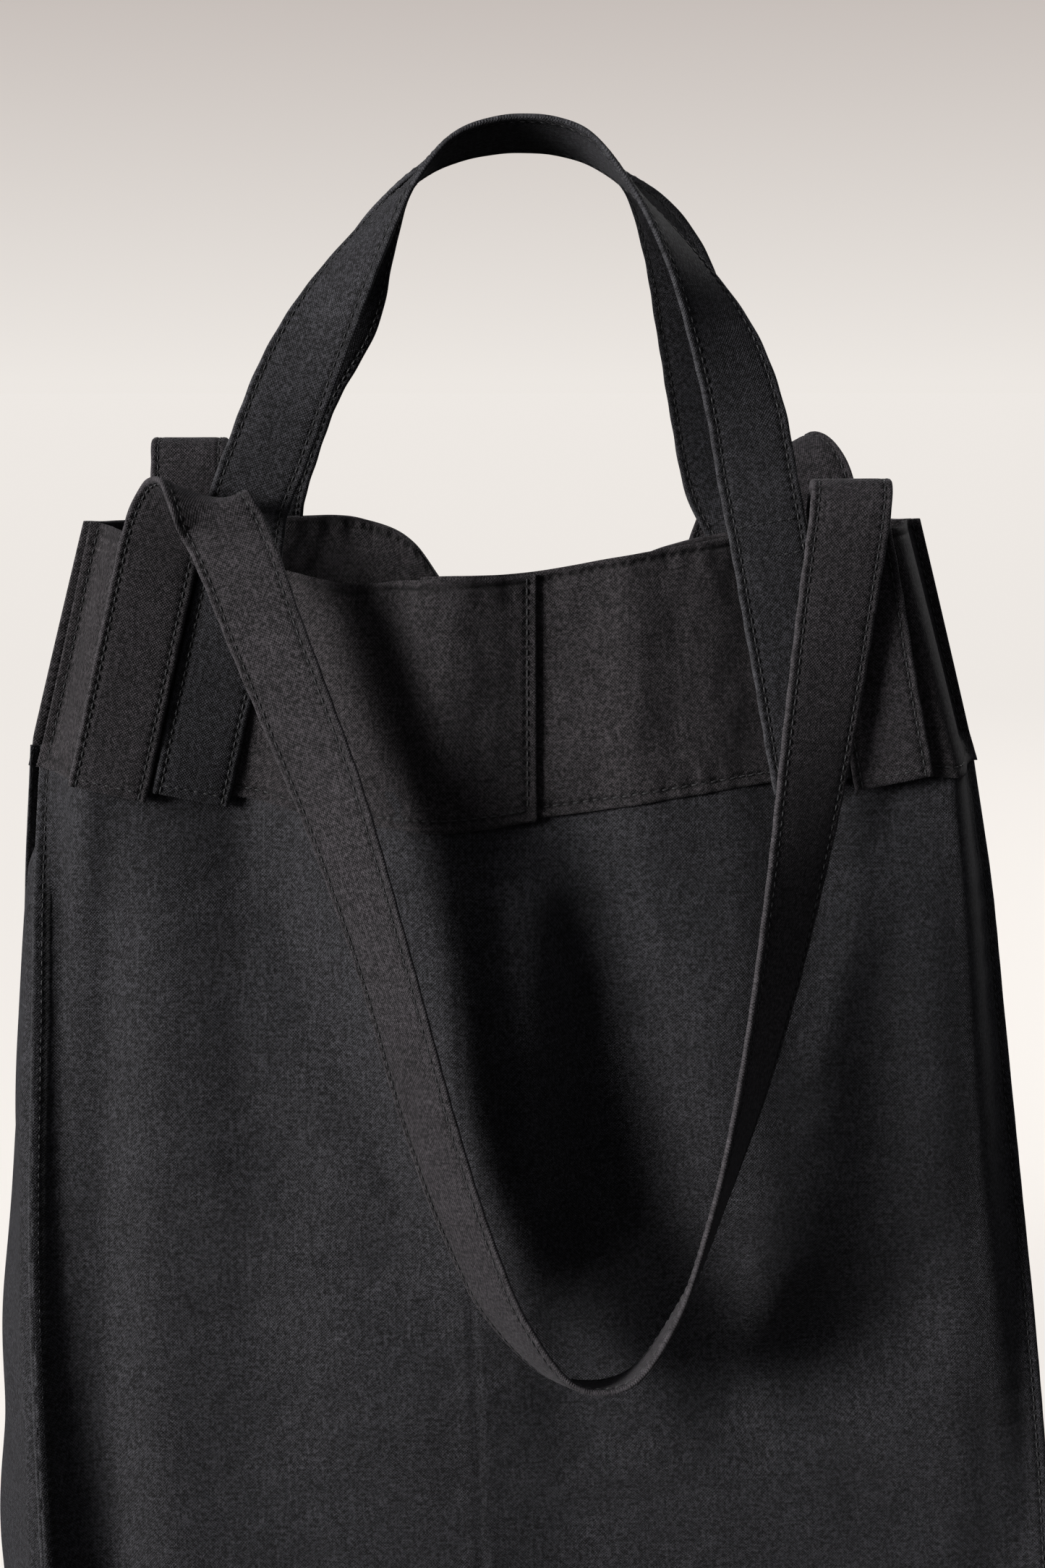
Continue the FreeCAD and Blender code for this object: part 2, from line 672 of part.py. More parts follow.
for face_name, turned in (("front", False), ("rear", True)):
    for side_name, side in (("left", -1), ("right", 1)):
        own_side = -side if turned else side
        stitches("%s_anchor_stitching_%s" % (face_name, side_name), anchor_rows(own_side), turned)


# ---------------------------------------------------------------- check and export

document.recompute()
for item in document.Objects:
    if {"Invalid", "Error"} & set(item.State):
        raise RuntimeError("%s did not rebuild: %s" % (item.Label, item.State))
for item in parts:
    if item.Shape.isNull() or not item.Shape.isValid() or item.Shape.Volume <= 0:
        raise RuntimeError("%s has no valid solid" % item.Label)

os.makedirs("parts", exist_ok=True)
for item in parts:
    item.Shape.exportStep(os.path.join("parts", item.Label + ".step"))
    print("%-32s %9.0f mm3, %d solids" % (item.Label, item.Shape.Volume, len(item.Shape.Solids)))

for which in ("grab", "shoulder"):
    foot, along, _, _ = strap_line(-1, which)
    if which == "grab":
        hinge = foot + along * (size("yoke_band") + size("grab_stand") + size("hinge_gap") / 2)
    else:
        hinge = foot + along * (size("yoke_band") + size("fold_rise"))
        hinge.y -= size("fold_reach")
    print("%s hinge line: y %.2f, z %.2f" % (which, hinge.y, hinge.z))
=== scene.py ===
import math
import random

import bpy
import numpy as np
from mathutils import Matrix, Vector


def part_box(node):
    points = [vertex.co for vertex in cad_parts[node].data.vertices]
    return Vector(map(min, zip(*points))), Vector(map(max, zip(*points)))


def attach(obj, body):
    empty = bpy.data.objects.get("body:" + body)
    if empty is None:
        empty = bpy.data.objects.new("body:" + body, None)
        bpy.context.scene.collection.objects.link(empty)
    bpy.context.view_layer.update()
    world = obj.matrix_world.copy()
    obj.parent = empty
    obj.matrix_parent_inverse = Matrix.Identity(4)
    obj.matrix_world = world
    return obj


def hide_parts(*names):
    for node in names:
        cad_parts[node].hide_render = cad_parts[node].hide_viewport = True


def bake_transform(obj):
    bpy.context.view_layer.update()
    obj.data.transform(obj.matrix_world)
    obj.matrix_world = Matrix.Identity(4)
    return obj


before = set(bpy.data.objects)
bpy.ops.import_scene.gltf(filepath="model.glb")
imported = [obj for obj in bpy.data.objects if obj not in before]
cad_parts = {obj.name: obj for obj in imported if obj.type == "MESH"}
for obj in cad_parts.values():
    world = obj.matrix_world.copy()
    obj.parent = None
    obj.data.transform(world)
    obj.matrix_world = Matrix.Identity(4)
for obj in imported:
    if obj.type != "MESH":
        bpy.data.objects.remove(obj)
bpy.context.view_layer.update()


# ------------------------------------------------------------------ body panels
# The front and the rear are each two panels of black canvas, seamed down the middle. Their outer
# edges are sewn to the side gussets edge to edge, pressed flat and topstitched, so each corner is
# a standing pinch. The cloth is stiff, and sags into a few broad folds under the yoke.

BASE_LOW, BASE_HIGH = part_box("base_panel")
PANEL_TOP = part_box("front_panel_left")[1].z
BASE_DEPTH = -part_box("front_panel_left")[0].y
CANVAS = 0.0016
THREAD_PITCH = 0.0012
STITCH_PITCH = 0.004
CORNER_INSET = 0.0038
SEAM_LINE = [(0.0, -0.014), (0.055, -0.0145), (0.22, -0.020), (0.36, -0.0235), (0.40, -0.024)]
LEFT_CORNER = [(0.0, -0.1945), (0.04, -0.196), (0.107, -0.199), (0.172, -0.2005), (0.271, -0.1985),
               (0.376, -0.1955), (0.40, -0.194)]
RIGHT_CORNER = [(0.0, 0.2305), (0.062, 0.2285), (0.131, 0.224), (0.198, 0.218), (0.265, 0.212),
                (0.332, 0.206), (0.376, 0.2005), (0.40, 0.198)]
BAND_OVER = 0.0027
BEND_ROUNDING = 0.006
# how far the mouth stands out at its lower and upper edge: flat beside the side seams, a ridge,
# nearly straight where the straps are sewn, then the waves of the middle
FRONT_BAND = (
    [(-0.1965, 0.0051), (-0.1900, 0.0060), (-0.1765, 0.0320), (-0.1400, 0.0260), (-0.1110, 0.0200),
     (-0.0940, 0.0260), (-0.0680, 0.0440), (-0.0450, 0.0560), (-0.0240, 0.0630), (0.0050, 0.0550),
     (0.0200, 0.0560), (0.0500, 0.0640), (0.0900, 0.0600), (0.1060, 0.0550), (0.1250, 0.0530),
     (0.1850, 0.0560), (0.1955, 0.0060), (0.2015, 0.0051)],
    [(-0.1710, 0.0029), (-0.1650, 0.0036), (-0.1530, 0.0290), (-0.1180, 0.0200), (-0.0950, 0.0210),
     (-0.0780, 0.0320), (-0.0480, 0.0500), (-0.0220, 0.0590), (0.0050, 0.0500), (0.0200, 0.0500),
     (0.0450, 0.0580), (0.0780, 0.0530), (0.0900, 0.0480), (0.1020, 0.0460), (0.1570, 0.0490),
     (0.1675, 0.0036), (0.1740, 0.0029)])
REAR_BAND = (
    [(-0.1965, 0.0051), (-0.1900, 0.0060), (-0.1785, 0.0330), (-0.1200, 0.0400), (-0.0700, 0.0600),
     (-0.0100, 0.0640), (0.0400, 0.0670), (0.0900, 0.0580), (0.1250, 0.0460), (0.1840, 0.0380),
     (0.1955, 0.0060), (0.2015, 0.0051)],
    [(-0.1710, 0.0029), (-0.1650, 0.0036), (-0.1530, 0.0300), (-0.1100, 0.0370), (-0.0700, 0.0500),
     (-0.0250, 0.0440), (0.0050, 0.0420), (0.0300, 0.0560), (0.0600, 0.0600), (0.0950, 0.0460),
     (0.1550, 0.0340), (0.1675, 0.0036), (0.1740, 0.0029)])


def smooth(points, at):
    """A smooth curve through (place, value) pairs, read at one place or at many."""
    x = np.array([p[0] for p in points], float)
    y = np.array([p[1] for p in points], float)
    slope = np.gradient(y, x)
    at = np.clip(np.asarray(at, float), x[0], x[-1])
    i = np.clip(np.searchsorted(x, at, side="right") - 1, 0, len(x) - 2)
    run = x[i + 1] - x[i]
    t = (at - x[i]) / run
    return (y[i] * (1 + 2 * t) * (1 - t) ** 2 + slope[i] * run * t * (1 - t) ** 2
            + y[i + 1] * t * t * (3 - 2 * t) + slope[i + 1] * run * t * t * (t - 1))


def ripple(x, z, size, seed):
    """Soft irregular waves, from about -1 to 1, whose lengths are near the given size."""
    dice = random.Random(seed)
    total = np.zeros(np.broadcast(x, z).shape)
    for _ in range(9):
        angle = dice.uniform(0, math.pi)
        length = size * dice.uniform(0.7, 1.6)
        phase = dice.uniform(0, 2 * math.pi)
        run = x * math.cos(angle) + z * math.sin(angle)
        total += np.sin(2 * math.pi * run / length + phase)
    return total / 4.0


def fold_line(x, z, points, width):
    """1 on a line through (x, z) points and falling off beside it; the strength is a point's third value."""
    best = np.zeros(np.broadcast(x, z).shape)
    for (x0, z0, s0), (x1, z1, s1) in zip(points, points[1:]):
        dx, dz = x1 - x0, z1 - z0
        t = np.clip(((x - x0) * dx + (z - z0) * dz) / (dx * dx + dz * dz), 0, 1)
        gap2 = (x - x0 - t * dx) ** 2 + (z - z0 - t * dz) ** 2
        best = np.maximum(best, (s0 + (s1 - s0) * t) * np.exp(-gap2 / width ** 2))
    return best


def dome(x, z, cx, cz, rx, rz):
    return np.exp(-(((x - cx) / rx) ** 2 + ((z - cz) / rz) ** 2))


def front_folds(x, z):
    """How far the folds of the front push it out, in metres."""
    seam = smooth(SEAM_LINE, z)
    out = 0.012 * dome(x, z, 0.080, 0.280, 0.050, 0.095)
    out += 0.013 * dome(x, z, 0.188, 0.250, 0.042, 0.120)
    below_yoke = np.clip((0.362 - z) / 0.028, 0, 1)
    out += 0.024 * np.exp(-((x - 0.005) / 0.020) ** 2) * below_yoke * dome(0, z, 0, 0.30, 1, 0.12)
    out += 0.006 * dome(x, z, -0.118, 0.275, 0.05, 0.075)
    out += 0.007 * np.exp(-((x - seam + 0.004) / 0.030) ** 2) * dome(0, z, 0, 0.28, 1, 0.13)
    out -= 0.015 * fold_line(x, z, [(0.014, 0.37, 0.15), (0.036, 0.300, 0.6), (0.045, 0.240, 1.0),
                                    (0.056, 0.185, 1.0), (0.096, 0.122, 1.0), (0.160, 0.146, 0.8),
                                    (0.200, 0.205, 0.3)], 0.027)
    out -= 0.005 * fold_line(x, z, [(-0.112, 0.365, 0.6), (-0.078, 0.285, 1.0), (-0.048, 0.215, 0.8),
                                    (-0.035, 0.15, 0.2)], 0.017)
    out += 0.0035 * fold_line(x, z, [(-0.185, 0.30, 0.2), (-0.12, 0.2, 1.0), (-0.06, 0.13, 0.6)], 0.028)
    out -= 0.0016 * fold_line(x, z, [(-0.060, 0.222, 0.3), (-0.049, 0.210, 1.0), (-0.037, 0.206, 0.2)], 0.004)
    out -= 0.0012 * fold_line(x, z, [(-0.052, 0.196, 0.2), (-0.044, 0.201, 1.0), (-0.034, 0.198, 0.2)], 0.003)
    out += 0.0022 * fold_line(x, z, [(0.150, 0.325, 0.2), (0.140, 0.300, 1.0), (0.127, 0.262, 0.3)], 0.008)
    out += 0.0030 * ripple(x, z * 0.6, 0.17, 4) * np.clip(1 - z / 0.3, 0.2, 1)
    out += 0.0005 * ripple(x, z, 0.034, 5) + 0.00016 * ripple(x, z, 0.011, 6)
    return out


def rear_folds(x, z):
    """The same for the rear, which hangs more evenly."""
    out = 0.010 * dome(x, z, 0.07, 0.24, 0.08, 0.11) + 0.008 * dome(x, z, -0.10, 0.19, 0.06, 0.09)
    out -= 0.008 * fold_line(x, z, [(-0.03, 0.37, 0.4), (-0.01, 0.24, 1.0), (0.03, 0.12, 0.6)], 0.024)
    out += 0.0030 * ripple(x, z * 0.6, 0.16, 14)
    out += 0.0005 * ripple(x, z, 0.034, 15) + 0.00016 * ripple(x, z, 0.011, 16)
    return out


def band_depth(share, up, band):
    """How far the mouth stands out, from its lower (up 0) to its upper edge, with rounded bends."""
    edges = []
    for points in band:
        places, depths = zip(*points)
        at = places[0] + (places[-1] - places[0]) * np.asarray(share, float)
        shifts = np.linspace(-BEND_ROUNDING, BEND_ROUNDING, 13)
        edges.append(sum(np.interp(at + shift, places, depths) for shift in shifts) / 13)
    return edges[0] + (edges[1] - edges[0]) * up


def front_wall(share, z, folds=front_folds):
    """The outer face of the front, from its left corner (share 0) to its right one (share 1)."""
    left, right = smooth(LEFT_CORNER, z), smooth(RIGHT_CORNER, z)
    x = left + (right - left) * share
    rise = np.clip(z / PANEL_TOP, 0, 1.05)
    band = REAR_BAND if folds is rear_folds else FRONT_BAND
    depth = BASE_DEPTH + (band_depth(share, 0.0, band) - BAND_OVER - BASE_DEPTH) * rise
    from_left, from_right = x - left, right - x
    edge = np.minimum(from_left, from_right)
    settle = 1 - np.exp(-(edge / 0.045) ** 2)
    near_yoke = 1 - np.exp(-((z - PANEL_TOP - 0.004) / 0.05) ** 2) * 0.55
    near_base = 1 - np.exp(-(z / 0.03) ** 2)
    depth = depth + folds(x, z) * settle * near_yoke * near_base
    sunk = np.clip((PANEL_TOP - z) / 0.06, 0, 1)
    depth = depth + 0.009 * (np.exp(-(from_left / 0.010) ** 2)) * sunk
    depth = depth - 0.012 * np.exp(-((from_left - 0.026) / 0.017) ** 2) * sunk
    depth = depth + 0.004 * (np.exp(-(from_right / 0.010) ** 2)) * sunk
    depth = depth - 0.003 * np.exp(-((from_right - 0.022) / 0.012) ** 2) * sunk
    pucker = np.sin(2 * math.pi * z / 0.021 + 3 * np.sin(z * 61)) * 0.0005
    depth = depth + pucker * (np.exp(-((from_left - 0.008) / 0.007) ** 2)
                              + np.exp(-((from_right - 0.008) / 0.007) ** 2))
    seam = smooth(SEAM_LINE, z)
    depth = depth - 0.0011 * np.exp(-((x - seam) / 0.0012) ** 2)
    depth = depth + 0.0007 * np.exp(-((x - seam) / 0.008) ** 2)
    depth = depth + pucker * 0.8 * np.exp(-((np.abs(x - seam) - 0.006) / 0.005) ** 2)
    return np.stack(np.broadcast_arrays(x, -depth, z), -1)


def turned(points):
    """The same place on the rear of the bag."""
    return np.asarray(points) * np.array([-1.0, -1.0, 1.0])


def cloth_mesh(name, points, cut, hem, thickness, outward=True):
    """A sheet through a grid of points. cut is each point's place on the flat cloth, and hem its
    distance from the nearest sewn edge and its place along it."""
    rows, columns = points.shape[:2]
    index = np.arange(rows * columns).reshape(rows, columns)
    quads = np.stack([index[:-1, :-1], index[:-1, 1:], index[1:, 1:], index[1:, :-1]], -1).reshape(-1, 4)
    if not outward:
        quads = quads[:, ::-1]
    mesh = bpy.data.meshes.new(name)
    mesh.from_pydata(points.reshape(-1, 3).tolist(), [], quads.tolist())
    corners = np.zeros(len(mesh.loops), int)
    mesh.loops.foreach_get("vertex_index", corners)
    for layer, values in (("cloth", cut), ("hem", hem)):
        uv = mesh.uv_layers.new(name=layer)
        uv.data.foreach_set("uv", values.reshape(-1, 2)[corners].astype(np.float32).ravel())
    mesh.polygons.foreach_set("use_smooth", [True] * len(mesh.polygons))
    piece = bpy.data.objects.new(name, mesh)
    bpy.context.scene.collection.objects.link(piece)
    if thickness:
        skin = piece.modifiers.new("Thickness", "SOLIDIFY")
        skin.thickness = thickness
        skin.offset = -1.0
        skin.use_even_offset = False
    return piece


def flat_cut(points):
    """Each point's place on the flat cloth: how far along its row, and how far up its column."""
    across = np.linalg.norm(np.diff(points, axis=1), axis=2)
    across = np.concatenate([np.zeros((points.shape[0], 1)), np.cumsum(across, 1)], 1)
    across = across - across[:, across.shape[1] // 2:across.shape[1] // 2 + 1]
    up = np.linalg.norm(np.diff(points, axis=0), axis=2).mean(1)
    up = np.concatenate([[0.0], np.cumsum(up)])
    return np.stack([across, np.broadcast_to(up[:, None], across.shape)], -1)


def node_group(name, inputs, outputs):
    """An empty shader group. Each input is (name, kind, value) and each output (name, kind)."""
    group = bpy.data.node_groups.new(name, "ShaderNodeTree")
    for title, kind, value in inputs:
        socket = group.interface.new_socket(name=title, in_out="INPUT", socket_type=kind)
        if value is not None:
            socket.default_value = value
    for title, kind in outputs:
        group.interface.new_socket(name=title, in_out="OUTPUT", socket_type=kind)
    return group, group.nodes.new("NodeGroupInput"), group.nodes.new("NodeGroupOutput")


def joined(tree, kind, operation=None, **sockets):
    """A new node. Each socket, by index s0, s1..., takes a value or another node's output."""
    node = tree.nodes.new(kind)
    if operation:
        node.operation = operation
    for key, value in sockets.items():
        socket = node.inputs[int(key[1:])]
        if isinstance(value, bpy.types.NodeSocket):
            tree.links.new(value, socket)
        else:
            socket.default_value = value
    return node


def math_node(tree, operation, *values):
    node = joined(tree, "ShaderNodeMath", operation, **{"s%d" % i: v for i, v in enumerate(values)})
    return node.outputs[0]


def plain_weave():
    """Threads over and under each other, thick and thin along their length, with a few pale flecks."""
    group, given, result = node_group(
        "plain weave",
        [("Cloth", "NodeSocketVector", None), ("Pitch", "NodeSocketFloat", THREAD_PITCH),
         ("Slub", "NodeSocketFloat", 0.5)],
        [("Shade", "NodeSocketFloat"), ("Height", "NodeSocketFloat"), ("Fleck", "NodeSocketFloat")])
    wobble = joined(group, "ShaderNodeTexNoise", s0=given.outputs["Cloth"], s2=90.0, s3=2.0)
    shifted = joined(group, "ShaderNodeVectorMath", "SCALE", s0=wobble.outputs["Color"])
    shifted.inputs["Scale"].default_value = THREAD_PITCH * 1.6
    place = joined(group, "ShaderNodeVectorMath", "ADD", s0=given.outputs["Cloth"], s1=shifted.outputs[0])
    threads = joined(group, "ShaderNodeVectorMath", "SCALE", s0=place.outputs[0])
    per_metre = math_node(group, "DIVIDE", 1.0, given.outputs["Pitch"])
    group.links.new(per_metre, threads.inputs["Scale"])
    parts = joined(group, "ShaderNodeSeparateXYZ", s0=threads.outputs[0])
    across = math_node(group, "SINE", math_node(group, "MULTIPLY", parts.outputs[0], 2 * math.pi))
    along = math_node(group, "SINE", math_node(group, "MULTIPLY", parts.outputs[1], 2 * math.pi))
    over = math_node(group, "MULTIPLY", across, along)
    streaks = []
    for stretch in ((1.0, 0.045, 1.0), (0.045, 1.0, 1.0)):
        run = joined(group, "ShaderNodeVectorMath", "MULTIPLY", s0=threads.outputs[0], s1=stretch)
        noise = joined(group, "ShaderNodeTexNoise", s0=run.outputs[0], s2=1.3, s3=3.0, s4=0.6)
        streaks.append(noise.outputs[0])
    on_top = math_node(group, "MULTIPLY_ADD", over, 0.5, 0.5)
    both = joined(group, "ShaderNodeMix", s0=on_top, s2=streaks[0], s3=streaks[1])
    strand = both.outputs[0]
    spread = math_node(group, "MULTIPLY", math_node(group, "SUBTRACT", strand, 0.5), given.outputs["Slub"])
    relief = math_node(group, "MULTIPLY", over, 1.0)
    grain = joined(group, "ShaderNodeTexNoise", s0=threads.outputs[0], s2=0.9, s3=2.0, s4=0.7)
    speckle = math_node(group, "MULTIPLY", math_node(group, "SUBTRACT", grain.outputs[0], 0.5), 6.0)
    streaky = math_node(group, "ADD", math_node(group, "MULTIPLY", spread, 3.0), relief)
    shade = math_node(group, "ADD", streaky,
                      math_node(group, "ADD", speckle, 1.0))
    shade = math_node(group, "MAXIMUM", shade, 0.18)
    group.links.new(shade, result.inputs["Shade"])
    height = math_node(group, "ADD", math_node(group, "MULTIPLY", over, 0.35),
                       math_node(group, "ADD", math_node(group, "MULTIPLY", spread, 1.5), 0.5))
    group.links.new(height, result.inputs["Height"])
    bright = math_node(group, "SUBTRACT", strand, 0.62)
    fleck = joined(group, "ShaderNodeMath", "MULTIPLY", s0=bright, s1=9.0)
    fleck.use_clamp = True
    group.links.new(fleck.outputs[0], result.inputs["Fleck"])
    return group


def worn_hem():
    """Where a sewn edge is rubbed paler, and the groove that a row of stitches pulls into the cloth."""
    group, given, result = node_group(
        "worn hem",
        [("Hem", "NodeSocketVector", None), ("Wear width", "NodeSocketFloat", 0.0016),
         ("Row inset", "NodeSocketFloat", 0.003), ("Stitch pitch", "NodeSocketFloat", STITCH_PITCH)],
        [("Wear", "NodeSocketFloat"), ("Height", "NodeSocketFloat")])
    parts = joined(group, "ShaderNodeSeparateXYZ", s0=given.outputs["Hem"])
    noise = joined(group, "ShaderNodeTexNoise", s0=given.outputs["Hem"], s2=240.0, s3=3.0)
    rough = math_node(group, "MULTIPLY", math_node(group, "SUBTRACT", noise.outputs[0], 0.4), 0.004)
    edge = math_node(group, "DIVIDE", math_node(group, "ADD", parts.outputs[0], rough),
                     given.outputs["Wear width"])
    wear = joined(group, "ShaderNodeMath", "SUBTRACT", s0=1.0, s1=edge)
    wear.use_clamp = True
    group.links.new(wear.outputs[0], result.inputs["Wear"])
    from_row = math_node(group, "SUBTRACT", parts.outputs[0], given.outputs["Row inset"])
    gap = math_node(group, "DIVIDE", from_row, 0.0011)
    squared = math_node(group, "MULTIPLY", gap, gap)
    groove = math_node(group, "POWER", 2.718, math_node(group, "MULTIPLY", squared, -1.0))
    stitches = math_node(group, "DIVIDE", parts.outputs[1], given.outputs["Stitch pitch"])
    along = math_node(group, "MULTIPLY", stitches, 2 * math.pi)
    beat = math_node(group, "MULTIPLY_ADD", math_node(group, "COSINE", along), 0.35, 0.65)
    pulled = math_node(group, "MULTIPLY", math_node(group, "MULTIPLY", groove, beat), -1.0)
    group.links.new(pulled, result.inputs["Height"])
    return group


WEAVE = plain_weave()
HEM = worn_hem()


def canvas(name, colour, pale, slub, sheen, row_inset=0.003, wear=0.0016, weave_height=0.00035):
    """Dyed canvas: a woven colour with pale flecks, paler worn edges, stitch grooves darkened with painted
    shade, and a soft bloom.
    """
    material = bpy.data.materials.new(name)
    material.use_nodes = True
    tree = material.node_tree
    shader = tree.nodes["Principled BSDF"]
    cloth = tree.nodes.new("ShaderNodeUVMap")
    cloth.uv_map = "cloth"
    hem = tree.nodes.new("ShaderNodeUVMap")
    hem.uv_map = "hem"
    weave = tree.nodes.new("ShaderNodeGroup")
    weave.node_tree = WEAVE
    weave.inputs["Slub"].default_value = slub
    tree.links.new(cloth.outputs[0], weave.inputs["Cloth"])
    worn = tree.nodes.new("ShaderNodeGroup")
    worn.node_tree = HEM
    worn.inputs["Row inset"].default_value = row_inset
    worn.inputs["Wear width"].default_value = wear
    tree.links.new(hem.outputs[0], worn.inputs["Hem"])
    patchy = joined(tree, "ShaderNodeTexNoise", s0=cloth.outputs[0], s2=22.0, s3=3.0, s4=0.55)
    fade = math_node(tree, "MULTIPLY_ADD", patchy.outputs[0], 0.5, 0.75)
    # painted shade: the colour is darkened along each stitch groove, down to a fifth at its deepest, where
    # the row's shadow would fall
    painted_groove_shade = math_node(tree, "MULTIPLY_ADD", worn.outputs["Height"], 0.8, 1.0)
    strength = math_node(tree, "MULTIPLY", math_node(tree, "MULTIPLY", weave.outputs["Shade"], fade), painted_groove_shade)
    shade = joined(tree, "ShaderNodeVectorMath", "SCALE", s0=colour)
    tree.links.new(strength, shade.inputs["Scale"])
    fleck = joined(tree, "ShaderNodeMath", "MULTIPLY", s0=weave.outputs["Fleck"], s1=0.45)
    flecked = joined(tree, "ShaderNodeMix", s0=fleck.outputs[0])
    flecked.data_type = "RGBA"
    tree.links.new(fleck.outputs[0], flecked.inputs[0])
    tree.links.new(shade.outputs[0], flecked.inputs[6])
    flecked.inputs[7].default_value = (*pale, 1)
    rubbed = tree.nodes.new("ShaderNodeMix")
    rubbed.data_type = "RGBA"
    tree.links.new(math_node(tree, "MULTIPLY", worn.outputs["Wear"], 0.35), rubbed.inputs[0])
    tree.links.new(flecked.outputs[2], rubbed.inputs[6])
    rubbed.inputs[7].default_value = (*pale, 1)
    tree.links.new(rubbed.outputs[2], shader.inputs["Base Color"])
    rough = math_node(tree, "MULTIPLY_ADD", weave.outputs["Shade"], -0.06, 0.94)
    tree.links.new(rough, shader.inputs["Roughness"])
    bump = tree.nodes.new("ShaderNodeBump")
    bump.inputs["Distance"].default_value = weave_height
    bump.inputs["Strength"].default_value = 0.9
    tree.links.new(weave.outputs["Height"], bump.inputs["Height"])
    pull = tree.nodes.new("ShaderNodeBump")
    pull.inputs["Distance"].default_value = 0.0007
    tree.links.new(worn.outputs["Height"], pull.inputs["Height"])
    tree.links.new(bump.outputs[0], pull.inputs["Normal"])
    tree.links.new(pull.outputs[0], shader.inputs["Normal"])
    shader.inputs["Specular IOR Level"].default_value = 0.25
    shader.inputs["Sheen Weight"].default_value = sheen
    shader.inputs["Sheen Roughness"].default_value = 0.45
    shader.inputs["Sheen Tint"].default_value = (0.75, 0.74, 0.80, 1)
    return material


def thread_material(name, colour):
    """Spun thread: fine twist lines along each stitch and a low shine."""
    material = bpy.data.materials.new(name)
    material.use_nodes = True
    tree = material.node_tree
    shader = tree.nodes["Principled BSDF"]
    place = tree.nodes.new("ShaderNodeTexCoord")
    twist = joined(tree, "ShaderNodeTexNoise", s0=place.outputs["Object"], s2=2400.0, s3=2.0)
    shade = joined(tree, "ShaderNodeVectorMath", "SCALE", s0=colour)
    tree.links.new(math_node(tree, "MULTIPLY_ADD", twist.outputs[0], 0.9, 0.55), shade.inputs["Scale"])
    tree.links.new(shade.outputs[0], shader.inputs["Base Color"])
    shader.inputs["Roughness"].default_value = 0.62
    shader.inputs["Sheen Weight"].default_value = 0.15
    bump = tree.nodes.new("ShaderNodeBump")
    bump.inputs["Distance"].default_value = 0.0001
    tree.links.new(twist.outputs[0], bump.inputs["Height"])
    tree.links.new(bump.outputs[0], shader.inputs["Normal"])
    return material


BODY_CANVAS = canvas("body canvas", (0.0165, 0.0162, 0.0188), (0.075, 0.075, 0.082), 0.85, 0.05,
                     row_inset=CORNER_INSET, wear=0.0012)
# the thread is black, and its colour is set darker than the cloth's as painted shade, so that the stitches
# read as dark dashes
THREAD = thread_material("black thread", (0.0075, 0.0075, 0.0095))


def stitch_row(places, outwards, length=0.0030, pitch=STITCH_PITCH, thick=0.00034):
    """The points and faces of stitches laid along a line on the cloth, each a short arched bar."""
    places, outwards = np.asarray(places, float), np.asarray(outwards, float)
    steps = np.linalg.norm(np.diff(places, axis=0), axis=1)
    run = np.concatenate([[0.0], np.cumsum(steps)])
    count = max(int(run[-1] / pitch), 1)
    points, faces = [], []
    rings = ((-0.5, 0.25, -0.9), (-0.34, 0.9, 0.25), (0.0, 1.0, 0.62), (0.34, 0.9, 0.25), (0.5, 0.25, -0.9))
    for number in range(count):
        middle = (number + 0.5) * run[-1] / count
        ends = [np.array([np.interp(m, run, places[:, k]) for k in range(3)])
                for m in (middle - length / 2, middle + length / 2)]
        centre = (ends[0] + ends[1]) / 2
        along = ends[1] - ends[0]
        along /= np.linalg.norm(along)
        out = np.array([np.interp(middle, run, outwards[:, k]) for k in range(3)])
        out -= along * out.dot(along)
        out /= np.linalg.norm(out)
        side = np.cross(out, along)
        base = len(points)
        for share, fat, lift in rings:
            for corner in range(5):
                angle = 2 * math.pi * corner / 5
                offset = side * math.cos(angle) + out * math.sin(angle)
                points.append(centre + along * (share * length) + offset * (thick * fat)
                              + out * (thick * lift))
        for ring in range(len(rings) - 1):
            for corner in range(5):
                a, b = base + ring * 5 + corner, base + ring * 5 + (corner + 1) % 5
                faces.append((a, b, b + 5, a + 5))
        faces.append(tuple(base + k for k in range(4, -1, -1)))
        last = base + 5 * (len(rings) - 1)
        faces.append(tuple(last + k for k in range(5)))
    return points, faces


def sewn(name, rows):
    """One piece that holds the stitches of several rows."""
    points, faces = [], []
    for row in rows:
        more, their = stitch_row(*row)
        faces += [tuple(i + len(points) for i in face) for face in their]
        points += more
    mesh = bpy.data.meshes.new(name)
    mesh.from_pydata([tuple(p) for p in points], [], faces)
    mesh.polygons.foreach_set("use_smooth", [True] * len(mesh.polygons))
    piece = bpy.data.objects.new(name, mesh)
    bpy.context.scene.collection.objects.link(piece)
    mesh.materials.append(THREAD)
    return piece


def facing(surface, a, b, step=0.002):
    """Outward directions of a surface at places (a, b), by stepping across it."""
    da = surface(a + step, b) - surface(a - step, b)
    db = surface(a, b + step) - surface(a, b - step)
    out = np.cross(da, db)
    return out / np.linalg.norm(out, axis=-1, keepdims=True)


